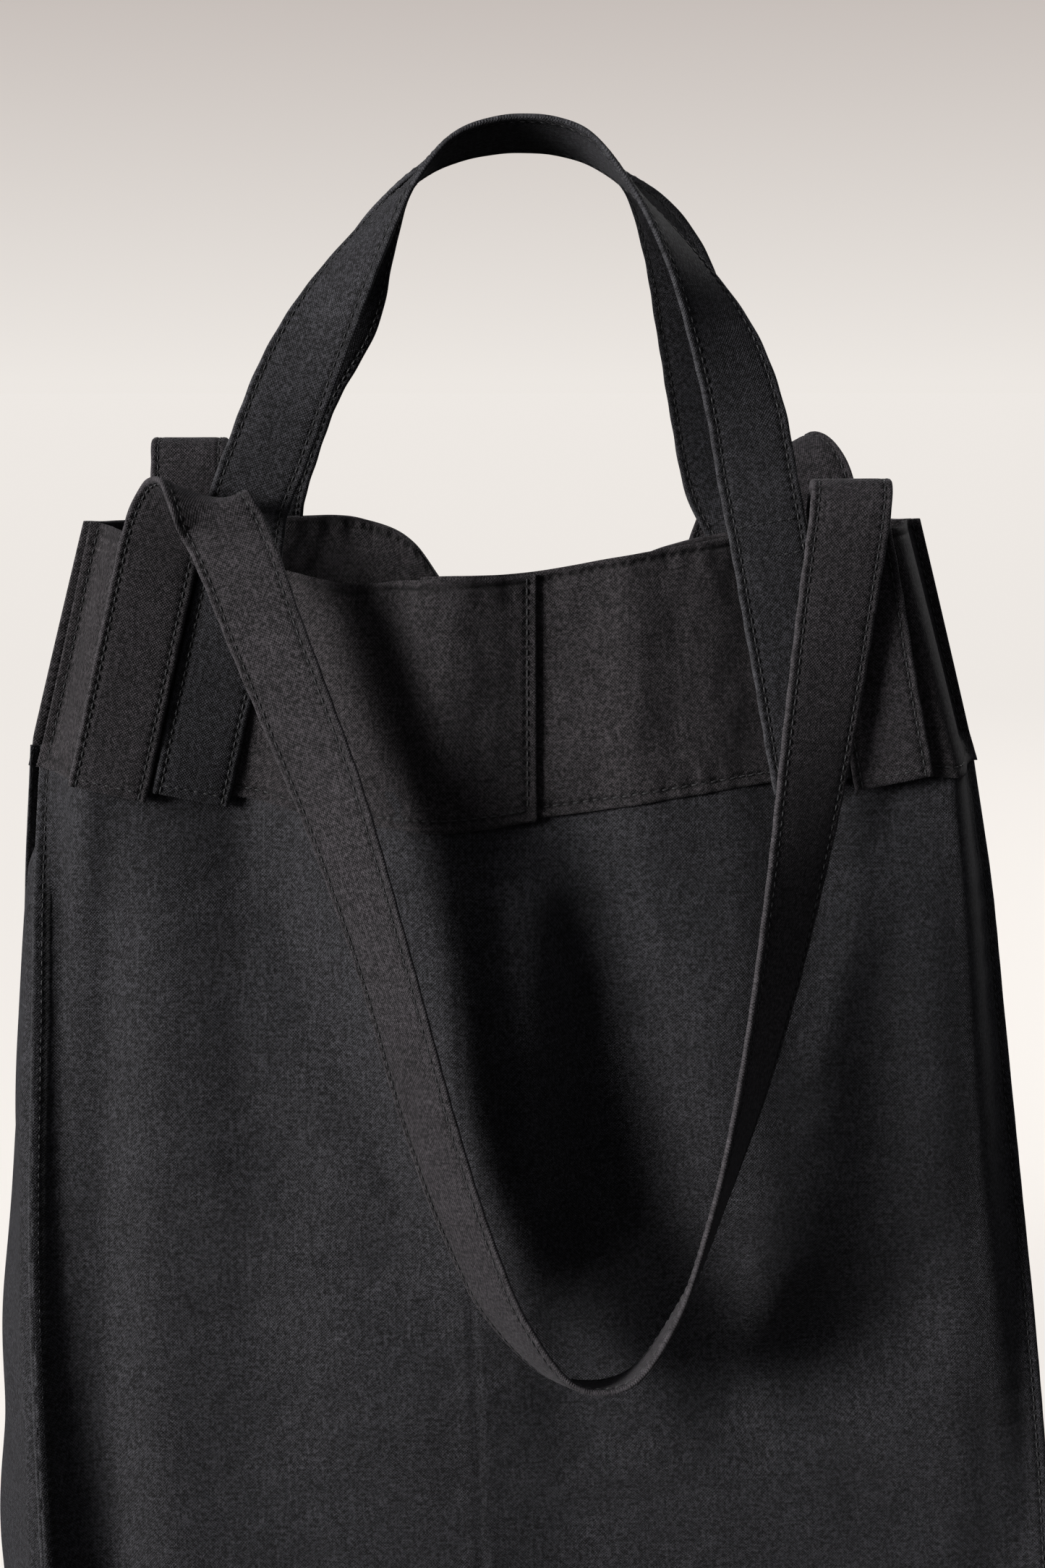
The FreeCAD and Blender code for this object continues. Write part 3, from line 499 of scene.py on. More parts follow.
def body_wall(name, folds, turn, nodes):
    shares = np.concatenate([np.linspace(0, 0.06, 16)[:-1], np.linspace(0.06, 0.94, 190)[:-1],
                             np.linspace(0.94, 1, 16)])
    heights = np.linspace(0.0, PANEL_TOP + 0.006, 190)
    share, z = np.meshgrid(shares, heights)
    points = front_wall(share, z, folds)
    cut = flat_cut(points)
    left, right = smooth(LEFT_CORNER, z), smooth(RIGHT_CORNER, z)
    hem = np.stack([np.minimum(points[..., 0] - left, right - points[..., 0]), z], -1)
    if turn:
        points = turned(points)
    wall = cloth_mesh(name, points, cut, hem, CANVAS)
    wall.data.materials.append(BODY_CANVAS)
    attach(wall, "bag")
    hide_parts(*nodes)
    rows = []
    place = turned if turn else np.asarray
    for column in (CORNER_INSET, -CORNER_INSET):
        height = np.linspace(0.004, PANEL_TOP - 0.002, 150)
        width = smooth(RIGHT_CORNER, height) - smooth(LEFT_CORNER, height)
        at = column / width if column > 0 else 1 + column / width
        outward = facing(lambda a, b: front_wall(a, b, folds), at, height)
        rows.append((place(front_wall(at, height, folds)), place(outward) if turn else outward))
    sewing = sewn(name + "_topstitching", rows)
    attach(sewing, "bag")
    return wall


body_wall("front_body", front_folds, False, ("front_panel_left", "front_panel_right"))
body_wall("rear_body", rear_folds, True, ("rear_panel_left", "rear_panel_right"))


# ------------------------------------------------------------------ base panel
# A double layer of the same canvas closes the bottom. Its edges are turned down and sewn inside
# the walls, so only its underside and its inner face are ever seen.

shares, depths = np.meshgrid(np.linspace(0, 1, 90), np.linspace(0, 1, 40))
front_line = front_wall(shares, 0.0) + np.array([0, 0.0026, 0])
rear_line = turned(front_wall(1 - shares, 0.0)) - np.array([0, 0.0026, 0])
base_points = front_line + (rear_line - front_line) * depths[..., None]
side_bulge = 0.0105 * np.sin(math.pi * depths)
near_right, near_left = np.clip((shares - 0.9) / 0.1, 0, 1), np.clip((0.1 - shares) / 0.1, 0, 1)
base_points[..., 0] += side_bulge * (near_right - near_left)
base_points[..., 0] += 0.003 * (0.5 - shares)
sag = dome(base_points[..., 0], base_points[..., 1], 0.04, 0, 0.12, 0.05)
base_points[..., 2] = BASE_HIGH.z + 0.0009 * sag
base_hem = np.stack([np.minimum(depths, 1 - depths) * 2 * BASE_DEPTH, base_points[..., 0]], -1)
base = cloth_mesh("base", base_points, flat_cut(base_points), base_hem, BASE_HIGH.z - BASE_LOW.z)
base.data.materials.append(BODY_CANVAS)
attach(base, "bag")
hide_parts("base_panel")


# ------------------------------------------------------------------ side gussets
# A tapered panel of canvas closes each side, widest at the base and run out to nothing under the
# yoke. It bows outwards, and its edges lie behind those of the front and rear in the corner seams.

GUSSET_BOW = 0.014


def gusset_wall(across, z):
    """The right gusset's outer face, from the front corner (across 0) to the rear one (across 1)."""
    front_edge, rear_edge = front_wall(1.0 + 0 * z, z), turned(front_wall(0.0 * z, z, rear_folds))
    span = np.linalg.norm(rear_edge - front_edge, axis=-1)
    open_wall = front_edge + (rear_edge - front_edge) * across[..., None]
    bow = GUSSET_BOW * np.clip(1 - z / PANEL_TOP, 0, 1) * np.sin(math.pi * across) ** 0.8
    wrinkle = (0.0022 * ripple(across * 0.16, z, 0.12, 21) * np.sin(math.pi * across)
               * np.clip(span / 0.1, 0, 1))
    open_wall[..., 0] += bow + wrinkle - 0.0012
    width = smooth(RIGHT_CORNER, z) - smooth(LEFT_CORNER, z)
    behind = np.array([-0.0006, 0.0019, 0])
    lying_front = front_wall(1 - across * span / width, z) + behind
    lying_rear = turned(front_wall((1 - across) * span / width, z, rear_folds)
                        + behind * np.array([-1, 1, 1]))
    for edge, lying in ((across, lying_front), (1 - across, lying_rear)):
        gone = np.clip((edge * span - 0.0045) / np.minimum(0.012, span * 0.5 + 1e-6), 0, 1)
        gone = (gone * gone * (3 - 2 * gone))[..., None]
        near = (edge < 0.5)[..., None]
        open_wall = np.where(near, lying * (1 - gone) + open_wall * gone, open_wall)
    return open_wall


def side_gusset(name, turn, node):
    shares = np.concatenate([np.linspace(0, 0.12, 12)[:-1], np.linspace(0.12, 0.88, 56)[:-1],
                             np.linspace(0.88, 1, 12)])
    across, z = np.meshgrid(shares, np.linspace(0.0, PANEL_TOP + 0.006, 150))
    points = gusset_wall(across, z)
    span = np.linalg.norm(points[:, -1] - points[:, 0], axis=-1)[:, None]
    hem = np.stack([np.minimum(across, 1 - across) * span, z], -1)
    cut = flat_cut(points)
    if turn:
        points = turned(points)
    piece = cloth_mesh(name, points, cut, hem, CANVAS)
    piece.data.materials.append(BODY_CANVAS)
    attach(piece, "bag")
    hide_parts(node)


side_gusset("right_side", False, "right_gusset")
side_gusset("left_side", True, "left_gusset")


# ------------------------------------------------------------------ yoke
# A band of warmer, crisper canvas, folded double, runs round the mouth. The front's left piece laps
# over its right one and is stitched down along the lap. Front and rear meet in flat side seams.

YOKE_CLOTH = 0.0024
YOKE_ROW_INSET = 0.0042
YOKE_LOW = [(-0.1965, 0.3765), (-0.15, 0.370), (-0.109, 0.3655), (-0.084, 0.3605), (-0.037, 0.3585),
            (0.011, 0.3625), (0.060, 0.3705), (0.109, 0.3765), (0.16, 0.378), (0.2015, 0.3755)]
YOKE_RIM = [(-0.171, 0.478), (-0.13, 0.471), (-0.085, 0.4585), (-0.067, 0.4555), (-0.031, 0.4595),
            (0.007, 0.4605), (0.045, 0.4675), (0.087, 0.474), (0.13, 0.4765), (0.174, 0.478)]
REAR_RIM = [(-0.174, 0.478), (-0.13, 0.4755), (-0.101, 0.4705), (-0.062, 0.4590), (-0.035, 0.4450),
            (-0.004, 0.4385), (0.022, 0.4440), (0.037, 0.4640), (0.060, 0.4750), (0.090, 0.4770),
            (0.13, 0.4750), (0.171, 0.478)]
LAP_FROM, LAP_TO = -0.036, 0.0095
LAP_STEP = 0.0027


def yoke_sides(up):
    return -0.1965 + 0.0255 * up, 0.2015 - 0.0275 * up


def yoke_face(x, up, lift=0.0, drop=0.0, rim=YOKE_RIM, band=FRONT_BAND):
    """The outer face of a yoke at x, from its lower edge (up 0) to the rim (up 1)."""
    left, right = yoke_sides(up)
    share = (x - left) / (right - left)
    inside = np.clip(np.minimum(x - left, right - x) / 0.05, 0, 1) ** 2
    depth = band_depth(share, up, band)
    waves = 0.0006 * ripple(x, up * 0.1, 0.035, 31) + 0.0002 * ripple(x, up * 0.1, 0.012, 32)
    depth = depth + inside * waves
    # each long edge of the band is a fold, so it is a little fuller than the middle
    tall = smooth(rim, x) - smooth(YOKE_LOW, x)
    for gap in (up * tall, (1 - up) * tall):
        depth = (depth + 0.0004 * np.exp(-((gap - 0.0012) / 0.0012) ** 2)
                 - 0.0003 * np.exp(-((gap - 0.004) / 0.0012) ** 2))
        puckers = 0.0003 * np.sin(2 * math.pi * x / 0.0125 + 2 * np.sin(x * 90))
        depth = depth + puckers * np.exp(-((gap - 0.005) / 0.006) ** 2)
    z = smooth(YOKE_LOW, x) + tall * up - drop
    # above the yoke's lower edge, each side is pressed flat onto the other half of the bag
    side_gap = np.minimum(x - left, right - x)
    pressed = np.clip((z - 0.378) / 0.0105, 0, 1) * np.clip((0.011 - side_gap) / 0.008, 0, 1)
    pressed = pressed * pressed * (3 - 2 * pressed)
    depth = depth + (YOKE_CLOTH - 0.0001 - depth) * pressed
    return np.stack(np.broadcast_arrays(x, -depth - lift, z), -1)


def lap_lift(x):
    """The upper piece climbs onto the lower one before the lap, and stays there to its edge."""
    climb = np.clip((x - LAP_FROM + 0.012) / 0.012, 0, 1)
    return LAP_STEP * climb * climb * (3 - 2 * climb)


YOKE_CANVAS = canvas("yoke canvas", (0.0185, 0.0163, 0.0180), (0.080, 0.074, 0.080), 0.75, 0.05,
                     row_inset=YOKE_ROW_INSET, wear=0.0011)


def yoke_piece(name, left_piece, turn, node):
    look = dict(rim=REAR_RIM, band=REAR_BAND) if turn else {}
    rim = REAR_RIM if turn else YOKE_RIM
    up, share = np.meshgrid(np.linspace(0, 1, 84), np.linspace(0, 1, 210), indexing="ij")
    left, right = yoke_sides(up)
    if left_piece:
        x = left + (LAP_TO - left) * share
        points = yoke_face(x, up, lap_lift(x), 0.0008 * np.clip((x - LAP_FROM + 0.01) / 0.01, 0, 1), **look)
        end_gap = LAP_TO - x
    else:
        x = LAP_FROM + (right - LAP_FROM) * share
        points = yoke_face(x, up, **look)
        end_gap = x * 0 + 1.0
    tall = smooth(rim, x) - smooth(YOKE_LOW, x)
    side_gap = np.minimum(x - left, right - x)
    gap = np.minimum(np.minimum(up * tall, (1 - up) * tall + 0.0008), np.minimum(side_gap, end_gap))
    along = np.where(np.minimum(side_gap, end_gap) < up * tall, up * tall, x)
    cut = flat_cut(points)
    if turn:
        points = turned(points)
    piece = cloth_mesh(name, points, cut, np.stack([gap, along], -1), YOKE_CLOTH)
    piece.data.materials.append(YOKE_CANVAS)
    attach(piece, "bag")
    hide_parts(node)
    place = turned if turn else np.asarray
    rows = []
    hem_row = np.linspace(-0.18, LAP_TO - 0.004, 90) if left_piece else np.linspace(LAP_TO + 0.002, 0.186, 90)
    lift = lap_lift if left_piece else (lambda at: 0 * at)
    tall = smooth(rim, hem_row) - smooth(YOKE_LOW, hem_row)
    at = YOKE_ROW_INSET / tall
    face = yoke_face(hem_row, at, lift(hem_row), **look)
    outward = facing(lambda a, b: yoke_face(a, b, lift(a), **look), hem_row, at)
    rows.append((place(face), place(outward)))
    upright = np.linspace(0.05, 0.985, 60)
    edges = yoke_sides(upright)
    columns = [edges[0] + 0.0038] if left_piece else [edges[1] - 0.0038]
    if left_piece:
        columns.append(0 * upright + LAP_TO - 0.0036)
    for column in columns:
        face = yoke_face(column, upright, lift(column), **look)
        outward = facing(lambda a, b: yoke_face(a, b, lift(a), **look), column, upright, 0.0015)
        rows.append((place(face), place(outward)))
    sewing = sewn(name + "_topstitching", rows)
    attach(sewing, "bag")


yoke_piece("front_yoke_upper", True, False, "front_yoke_left")
yoke_piece("front_yoke_lower", False, False, "front_yoke_right")
yoke_piece("rear_yoke_upper", True, True, "rear_yoke_right")
yoke_piece("rear_yoke_lower", False, True, "rear_yoke_left")


# ------------------------------------------------------------------ grab handles
# Each handle is a strip of canvas folded in four and stitched along both edges. Its ends lie flat
# on the yoke, side by side with the shoulder strap's. Above the rim it twists through a quarter
# turn, so that its face is outwards at the rim and downwards under the hand.

STRAP_WIDTH = 0.032
STRAP_CLOTH = 0.0026
STRAP_INSET = 0.0031


def strap_path(stations, count):
    """Evenly spaced centres and width directions of a strap through (centre, width direction) stations."""
    centres = np.array([s[0] for s in stations], float)
    widths = np.array([s[1] for s in stations], float)
    steps = np.linalg.norm(np.diff(centres, axis=0), axis=1) ** 0.5
    mark = np.concatenate([[0.0], np.cumsum(steps)])
    fine = np.linspace(0, mark[-1], 1600)
    line = np.stack([smooth(list(zip(mark, centres[:, k])), fine) for k in range(3)], -1)
    wide = np.stack([smooth(list(zip(mark, widths[:, k])), fine) for k in range(3)], -1)
    run = np.concatenate([[0.0], np.cumsum(np.linalg.norm(np.diff(line, axis=0), axis=1))])
    even = np.linspace(0, run[-1], count)
    line = np.stack([np.interp(even, run, line[:, k]) for k in range(3)], -1)
    wide = np.stack([np.interp(even, run, wide[:, k]) for k in range(3)], -1)
    ahead = np.gradient(line, axis=0)
    ahead /= np.linalg.norm(ahead, axis=1, keepdims=True)
    wide -= ahead * (wide * ahead).sum(1, keepdims=True)
    wide /= np.linalg.norm(wide, axis=1, keepdims=True)
    out = np.cross(wide, ahead)
    return line, wide, out, even


STRAP_CANVAS = canvas("strap canvas", (0.0200, 0.0178, 0.0200), (0.095, 0.088, 0.096), 0.75, 0.06,
                      row_inset=STRAP_INSET, wear=0.0018)
HANDLE_CANVAS = canvas("grab handle canvas", (0.0168, 0.0165, 0.0192), (0.085, 0.085, 0.093), 0.8, 0.05,
                       row_inset=STRAP_INSET, wear=0.0015)


def strap_mesh(name, line, wide, out, run, material, seed):
    """A folded strap: flat faces, soft edges, a shallow channel along each row of stitches."""
    half, thick = STRAP_WIDTH / 2, STRAP_CLOTH / 2
    inset = STRAP_INSET
    profile = []
    for x, y in ((half - 0.0052, 0.96), (half - inset, 0.74), (half - 0.0017, 0.98), (half - 0.0006, 0.80),
                 (half, 0.32)):
        profile.append((x, y * thick))
    upper = ([(-x, y) for x, y in reversed(profile)]
             + [(-0.006, thick), (0.0, thick * 1.02), (0.006, thick)] + profile)
    ring = upper + [(x, -y) for x, y in reversed(upper)]
    ring = np.array(ring)
    count, around = len(line), len(ring)
    pucker = 1 + 0.10 * np.sin(2 * math.pi * run / STITCH_PITCH)
    sway = 0.00022 * ripple(run, 0 * run, 0.05, seed)
    points = np.zeros((count, around, 3))
    for k, (x, y) in enumerate(ring):
        near_row = math.exp(-((half - inset - abs(x)) / 0.0015) ** 2)
        swell = y * (1 + (pucker - 1) * near_row)
        wobble = 0.00012 * np.sin(run * 410 + 7 * x / half + seed) * (abs(x) / half) ** 3
        points[:, k] = (line + wide * (x + wobble)[:, None]
                        + out * (swell + sway * (1 - (x / half) ** 2))[:, None])
    index = np.arange(count * around).reshape(count, around)
    faces = []
    for row in range(count - 1):
        for k in range(around):
            n = (k + 1) % around
            faces.append((index[row, k], index[row, n], index[row + 1, n], index[row + 1, k]))
    faces.append(tuple(index[0, ::-1]))
    faces.append(tuple(index[-1]))
    mesh = bpy.data.meshes.new(name)
    mesh.from_pydata(points.reshape(-1, 3).tolist(), [], [tuple(int(i) for i in f) for f in faces])
    corners = np.zeros(len(mesh.loops), int)
    mesh.loops.foreach_get("vertex_index", corners)
    across = np.tile(ring[:, 0], count)
    along = np.repeat(run, around)
    for layer, values in (("cloth", np.stack([across, along], 1)),
                          ("hem", np.stack([half - np.abs(across), along], 1))):
        uv = mesh.uv_layers.new(name=layer)
        uv.data.foreach_set("uv", values[corners].astype(np.float32).ravel())
    mesh.polygons.foreach_set("use_smooth", [True] * len(mesh.polygons))
    mesh.materials.append(material)
    piece = bpy.data.objects.new(name, mesh)
    bpy.context.scene.collection.objects.link(piece)
    return piece


def strap_rows(line, wide, out, both_faces=True):
    """Rows of stitches along both edges of a strap."""
    rows = []
    for side in (-1, 1):
        for face in ((1, -1) if both_faces else (1,)):
            place = line + wide * (side * (STRAP_WIDTH / 2 - STRAP_INSET)) + out * (face * STRAP_CLOTH * 0.40)
            rows.append((place, out * face))
    return rows


def foot_stations(low, rim, turn):
    """Stations of a sewn end that lies on the yoke, from below its lower edge up to the rim."""
    look = dict(rim=REAR_RIM, band=REAR_BAND) if turn else {}
    rim_line = REAR_RIM if turn else YOKE_RIM
    slant = np.array([rim - low, 0, 0.1])
    stations = []
    for up in (-0.022, 0.1, 0.28, 0.46, 0.64, 0.82, 0.96):
        x = low + (rim - low) * up
        on = float(np.clip(up, 0.02, 1))
        edges = [yoke_face(np.array(x + side), np.array(on), **look) for side in (-0.013, 0.0, 0.013)]
        across = edges[2] - edges[0]
        across[2] = 0
        across /= np.linalg.norm(across)
        out = np.array([across[1], -across[0], 0])
        proud = max(float((edge - edges[1]) @ out) for edge in edges)
        z_low, z_rim = float(smooth(YOKE_LOW, x)), float(smooth(rim_line, x))
        centre = np.array([x, edges[1][1], z_low + (z_rim - z_low) * up]) + out * (
            proud + STRAP_CLOTH / 2 + 0.0006 + float(lap_lift(np.array(x))))
        along = slant / np.linalg.norm(slant)
        stations.append((centre, across - along * (across @ along)))
    return stations


GRAB_LEFT, GRAB_RIGHT = (-0.1310, -0.1070), (0.1195, 0.1010)
# centre and width direction from above one foot, over the top, to above the other
FRONT_HANDLE = [
    ((-0.1035, -0.0370, 0.487), (1.00, -0.02, -0.22)),
    ((-0.0950, -0.0430, 0.508), (0.97, -0.08, -0.15)),
    ((-0.0840, -0.0455, 0.535), (0.94, -0.20, 0.00)),
    ((-0.0715, -0.0420, 0.561), (0.86, -0.42, 0.12)),
    ((-0.0570, -0.0350, 0.586), (0.68, -0.68, 0.20)),
    ((-0.0410, -0.0265, 0.6085), (0.40, -0.88, 0.26)),
    ((-0.0215, -0.0200, 0.6250), (0.15, -0.93, 0.31)),
    ((0.0050, -0.0175, 0.6310), (0.0, -0.94, 0.33)),
    ((0.0300, -0.0195, 0.6265), (-0.12, -0.93, 0.31)),
    ((0.0500, -0.0260, 0.6085), (-0.36, -0.89, 0.26)),
    ((0.0690, -0.0360, 0.581), (-0.66, -0.70, 0.20)),
    ((0.0830, -0.0440, 0.552), (-0.88, -0.38, 0.10)),
    ((0.0920, -0.0475, 0.524), (-0.97, -0.16, 0.00)),
    ((0.0975, -0.0480, 0.497), (-1.00, -0.04, -0.12)),
]
REAR_HANDLE = [
    ((-0.0975, -0.0460, 0.488), (1.00, -0.02, -0.12)),
    ((-0.0900, -0.0480, 0.523), (0.98, -0.12, -0.04)),
    ((-0.0835, -0.0455, 0.556), (0.94, -0.30, 0.04)),
    ((-0.0740, -0.0385, 0.588), (0.78, -0.60, 0.14)),
    ((-0.0580, -0.0290, 0.6130), (0.46, -0.85, 0.25)),
    ((-0.0290, -0.0220, 0.6290), (0.16, -0.94, 0.28)),
    ((-0.0010, -0.0200, 0.6335), (0.0, -0.95, 0.28)),
    ((0.0260, -0.0215, 0.6270), (-0.16, -0.94, 0.28)),
    ((0.0440, -0.0270, 0.6100), (-0.42, -0.87, 0.25)),
    ((0.0570, -0.0360, 0.586), (-0.74, -0.64, 0.14)),
    ((0.0665, -0.0435, 0.561), (-0.92, -0.36, 0.04)),
    ((0.0845, -0.0475, 0.532), (-0.94, -0.18, -0.10)),
    ((0.0960, -0.0460, 0.502), (-0.97, -0.06, -0.18)),
    ((0.1000, -0.0420, 0.489), (-0.98, -0.04, -0.16)),
]


def grab_handle(name, turn, legs, nodes):
    left = foot_stations(*GRAB_LEFT, turn)
    right = [(c, -np.asarray(w)) for c, w in reversed(foot_stations(*GRAB_RIGHT, turn))]
    stations = left + [(np.array(c), np.array(w, float)) for c, w in legs] + right
    line, wide, out, run = strap_path(stations, 330)
    rim_marks = [k for k in range(1, len(run)) if (line[k, 2] - 0.4800) * (line[k - 1, 2] - 0.4800) < 0
                 or (line[k, 2] - 0.4680) * (line[k - 1, 2] - 0.4680) < 0]
    if turn:
        line, wide, out = turned(line), turned(wide), turned(out)
    handle = strap_mesh(name, line, wide, out, run, HANDLE_CANVAS, 41)
    rows = strap_rows(line, wide, out)
    across = np.linspace(-STRAP_WIDTH / 2 + 0.004, STRAP_WIDTH / 2 - 0.004, 20)[:, None]
    for k in rim_marks:
        rows.append((line[k] + wide[k] * across + out[k] * STRAP_CLOTH * 0.5, out[k] + 0 * across))
    for end in (0, -1):
        k = int(np.argmin(np.abs(run - abs(run[end] - 0.0042))))
        rows.append((line[k] + wide[k] * across + out[k] * STRAP_CLOTH * 0.5, out[k] + 0 * across))
    sewing = sewn(name + "_topstitching", rows)
    for piece in (handle, sewing):
        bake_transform(piece)
    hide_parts(*nodes)
    face = name.split("_")[0]
    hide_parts(face + "_anchor_stitching_left", face + "_anchor_stitching_right")


grab_handle("front_handle", False, FRONT_HANDLE, ("front_grab_handle", "front_grab_strap_end_left",
                                                  "front_grab_strap_end_right"))
grab_handle("rear_handle", True, REAR_HANDLE, ("rear_grab_handle", "rear_grab_strap_end_left",
                                               "rear_grab_strap_end_right"))


# ------------------------------------------------------------------ shoulder straps
# The same folded canvas, much longer. Each end is sewn beside a handle's, runs up past the rim and
# folds over forwards, and the loop hangs down in front with a half turn at its bottom.

SHOULDER_LEFT, SHOULDER_RIGHT = (-0.1635, -0.1395), (0.1530, 0.1345)


def shoulder_strap(name, turn, nodes):
    hanging = [
        # centre, and width direction
        ((-0.1360, -0.0310, 0.4800), (0.97, 0.02, -0.24)),
        ((-0.1310, -0.0360, 0.4875), (0.95, -0.02, -0.30)),
        ((-0.1244, -0.0460, 0.4906), (0.94, -0.06, -0.32)),
        ((-0.1173, -0.0560, 0.4866), (0.94, -0.10, -0.18)),
        ((-0.1115, -0.0600, 0.4776), (0.94, -0.12, 0.08)),
        ((-0.1047, -0.0680, 0.4633), (0.92, -0.16, 0.26)),
        ((-0.0968, -0.0745, 0.4424), (0.90, -0.26, 0.34)),
        ((-0.0839, -0.0820, 0.4093), (0.86, -0.40, 0.32)),
        ((-0.0704, -0.0935, 0.3751), (0.80, -0.53, 0.27)),
        ((-0.0520, -0.1025, 0.3161), (0.68, -0.69, 0.23)),
        ((-0.0346, -0.1050, 0.2504), (0.65, -0.72, 0.22)),
        ((-0.0200, -0.1060, 0.2046), (0.59, -0.77, 0.22)),
        ((-0.0045, -0.1080, 0.1708), (0.45, -0.84, 0.30)),
        ((0.0191, -0.1090, 0.1451), (0.18, -0.93, 0.32)),
        ((0.0422, -0.1080, 0.1451), (-0.05, -0.95, 0.29)),
        ((0.0623, -0.1060, 0.1709), (-0.20, -0.96, 0.15)),
        ((0.0792, -0.1040, 0.2176), (-0.34, -0.93, 0.10)),
        ((0.0960, -0.0930, 0.2741), (-0.58, -0.80, 0.08)),
        ((0.1102, -0.0800, 0.3392), (-0.80, -0.58, 0.08)),
        ((0.1211, -0.0690, 0.4030), (-0.95, -0.28, 0.06)),
        ((0.1281, -0.0640, 0.4542), (-0.99, -0.08, 0.04)),
        ((0.1315, -0.0625, 0.4799), (-1.0, -0.02, 0.03)),
        ((0.1334, -0.0575, 0.4914), (-1.0, 0.0, 0.02)),
        ((0.1340, -0.0520, 0.4955), (-1.0, 0.0, 0.0)),
        ((0.1345, -0.0450, 0.4915), (-1.0, 0.0, -0.04)),
        ((0.1345, -0.0420, 0.4840), (-1.0, 0.0, -0.10)),
    ]
    if turn:
        hanging = [((x, y, z + 0.015 * max(0.0, 1 - abs(z - 0.492) / 0.05)), wide)
                   for (x, y, z), wide in hanging]
    left = foot_stations(*SHOULDER_LEFT, turn)
    right = [(c, -np.asarray(w)) for c, w in reversed(foot_stations(*SHOULDER_RIGHT, turn))]
    stations = left + [(np.array(c), np.array(w, float)) for c, w in hanging] + right
    line, wide, out, run = strap_path(stations, 620)
    if turn:
        line, wide, out = turned(line), turned(wide), turned(out)
    strap = strap_mesh(name, line, wide, out, run, STRAP_CANVAS, 47)
    rows = strap_rows(line, wide, out)
    across = np.linspace(-STRAP_WIDTH / 2 + 0.004, STRAP_WIDTH / 2 - 0.004, 20)[:, None]
    for end in (0, -1):
        k = int(np.argmin(np.abs(run - abs(run[end] - 0.0042))))
        rows.append((line[k] + wide[k] * across + out[k] * STRAP_CLOTH * 0.5, out[k] + 0 * across))
    sewing = sewn(name + "_topstitching", rows)
    for piece in (strap, sewing):
        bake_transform(piece)
    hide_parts(*nodes)


shoulder_strap("front_shoulder", False, ("front_shoulder_strap", "front_shoulder_strap_end_left",
                                         "front_shoulder_strap_end_right"))
shoulder_strap("rear_shoulder", True, ("rear_shoulder_strap", "rear_shoulder_strap_end_left",
                                       "rear_shoulder_strap_end_right"))


# ------------------------------------------------------------------ studio
# A plain pale floor that fades into the backdrop, one large soft light high on the left, a weak
# fill from all round, and the camera.

floor_mesh = bpy.data.meshes.new("floor")
floor_mesh.from_pydata([(-90, -90, 0), (90, -90, 0), (90, 90, 0), (-90, 90, 0)], [], [(0, 1, 2, 3)])
floor = bpy.data.objects.new("floor", floor_mesh)
bpy.context.scene.collection.objects.link(floor)
floor_paint = bpy.data.materials.new("pale floor")
floor_paint.use_nodes = True
floor_tree = floor_paint.node_tree
floor_face = floor_tree.nodes["Principled BSDF"]
floor_face.inputs["Base Color"].default_value = (0.20, 0.19, 0.18, 1)
floor_face.inputs["Roughness"].default_value = 0.95
floor_face.inputs["Specular IOR Level"].default_value = 0.1
floor_face.inputs["Emission Color"].default_value = (0.815, 0.776, 0.737, 1)
floor_face.inputs["Emission Strength"].default_value = 1.0
dim_face = floor_tree.nodes.new("ShaderNodeBsdfDiffuse")
dim_face.inputs["Color"].default_value = (0.10, 0.098, 0.095, 1)
seen_by_camera = floor_tree.nodes.new("ShaderNodeLightPath")
floor_mix = floor_tree.nodes.new("ShaderNodeMixShader")
floor_tree.links.new(seen_by_camera.outputs["Is Camera Ray"], floor_mix.inputs[0])
floor_tree.links.new(dim_face.outputs[0], floor_mix.inputs[1])
floor_tree.links.new(floor_face.outputs[0], floor_mix.inputs[2])
floor_tree.links.new(floor_mix.outputs[0], floor_tree.nodes["Material Output"].inputs["Surface"])
floor_mesh.materials.append(floor_paint)

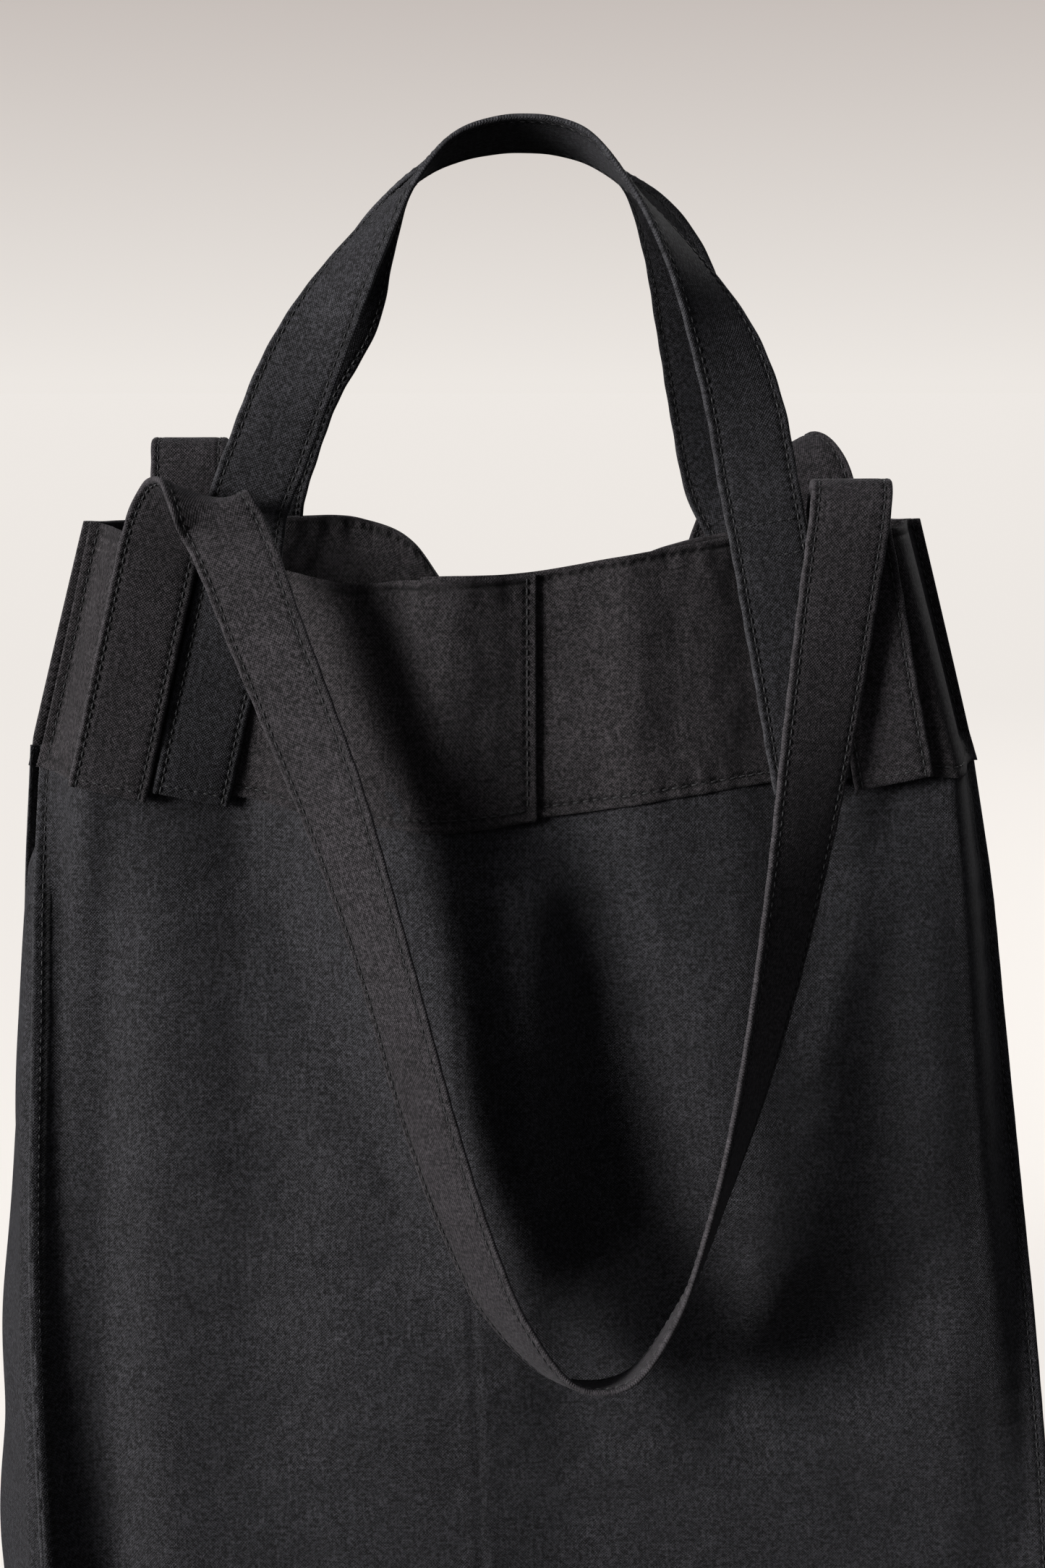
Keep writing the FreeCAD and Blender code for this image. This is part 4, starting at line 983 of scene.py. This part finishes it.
aim = Vector((0.02, -0.07, 0.66))
for name, place, size, spread, watts in (
        ("window", (-1.88, -1.20, 1.20), 2.0, 28, 16.5),
        ("whole window", (-1.88, -1.20, 1.20), 2.0, 120, 3.0),
        ("far room", (1.7, 2.4, 1.7), 1.5, 120, 12.0)):
    lamp = bpy.data.lights.new(name, "AREA")
    lamp.shape = "DISK"
    lamp.size = size
    lamp.spread = math.radians(spread)
    lamp.energy = watts
    lamp.color = (1.0, 0.985, 0.965)
    light = bpy.data.objects.new(name, lamp)
    light.location = place
    light.rotation_euler = (aim - Vector(place)).to_track_quat("-Z", "Y").to_euler()
    bpy.context.scene.collection.objects.link(light)

world = bpy.data.worlds.new("pale room")
bpy.context.scene.world = world
world.use_nodes = True
tree = world.node_tree
room = tree.nodes["Background"]
room.inputs["Color"].default_value = (0.80, 0.80, 0.84, 1)
room.inputs["Strength"].default_value = 0.20
# painted shade: the backdrop seen by the camera is pale at the horizon and painted darker towards the top
seen = tree.nodes.new("ShaderNodeBackground")
toward = tree.nodes.new("ShaderNodeTexCoord")
height = tree.nodes.new("ShaderNodeSeparateXYZ")
tree.links.new(toward.outputs["Generated"], height.inputs[0])
fade = tree.nodes.new("ShaderNodeMapRange")
fade.inputs["From Min"].default_value = 0.0
fade.inputs["From Max"].default_value = 0.16
tree.links.new(height.outputs["Z"], fade.inputs["Value"])
backdrop = tree.nodes.new("ShaderNodeMix")
backdrop.data_type = "RGBA"
backdrop.inputs[6].default_value = (0.845, 0.805, 0.765, 1)
backdrop.inputs[7].default_value = (0.575, 0.525, 0.495, 1)
tree.links.new(fade.outputs["Result"], backdrop.inputs[0])
tree.links.new(backdrop.outputs[2], seen.inputs["Color"])
path = tree.nodes.new("ShaderNodeLightPath")
mix = tree.nodes.new("ShaderNodeMixShader")
tree.links.new(path.outputs["Is Camera Ray"], mix.inputs[0])
tree.links.new(room.outputs[0], mix.inputs[1])
tree.links.new(seen.outputs[0], mix.inputs[2])
tree.links.new(mix.outputs[0], tree.nodes["World Output"].inputs["Surface"])
bpy.context.scene.view_settings.view_transform = "Standard"

camera_data = bpy.data.cameras.new("camera")
camera_data.lens = 50.0
camera_data.sensor_width = 36.0
camera_data.clip_end = 400
camera = bpy.data.objects.new("camera", camera_data)
camera.location = (-0.0438, -0.910, 0.535)
camera.rotation_euler = (math.radians(90 - 10.5), 0, math.radians(-3.2))
bpy.context.scene.collection.objects.link(camera)
bpy.context.scene.camera = camera
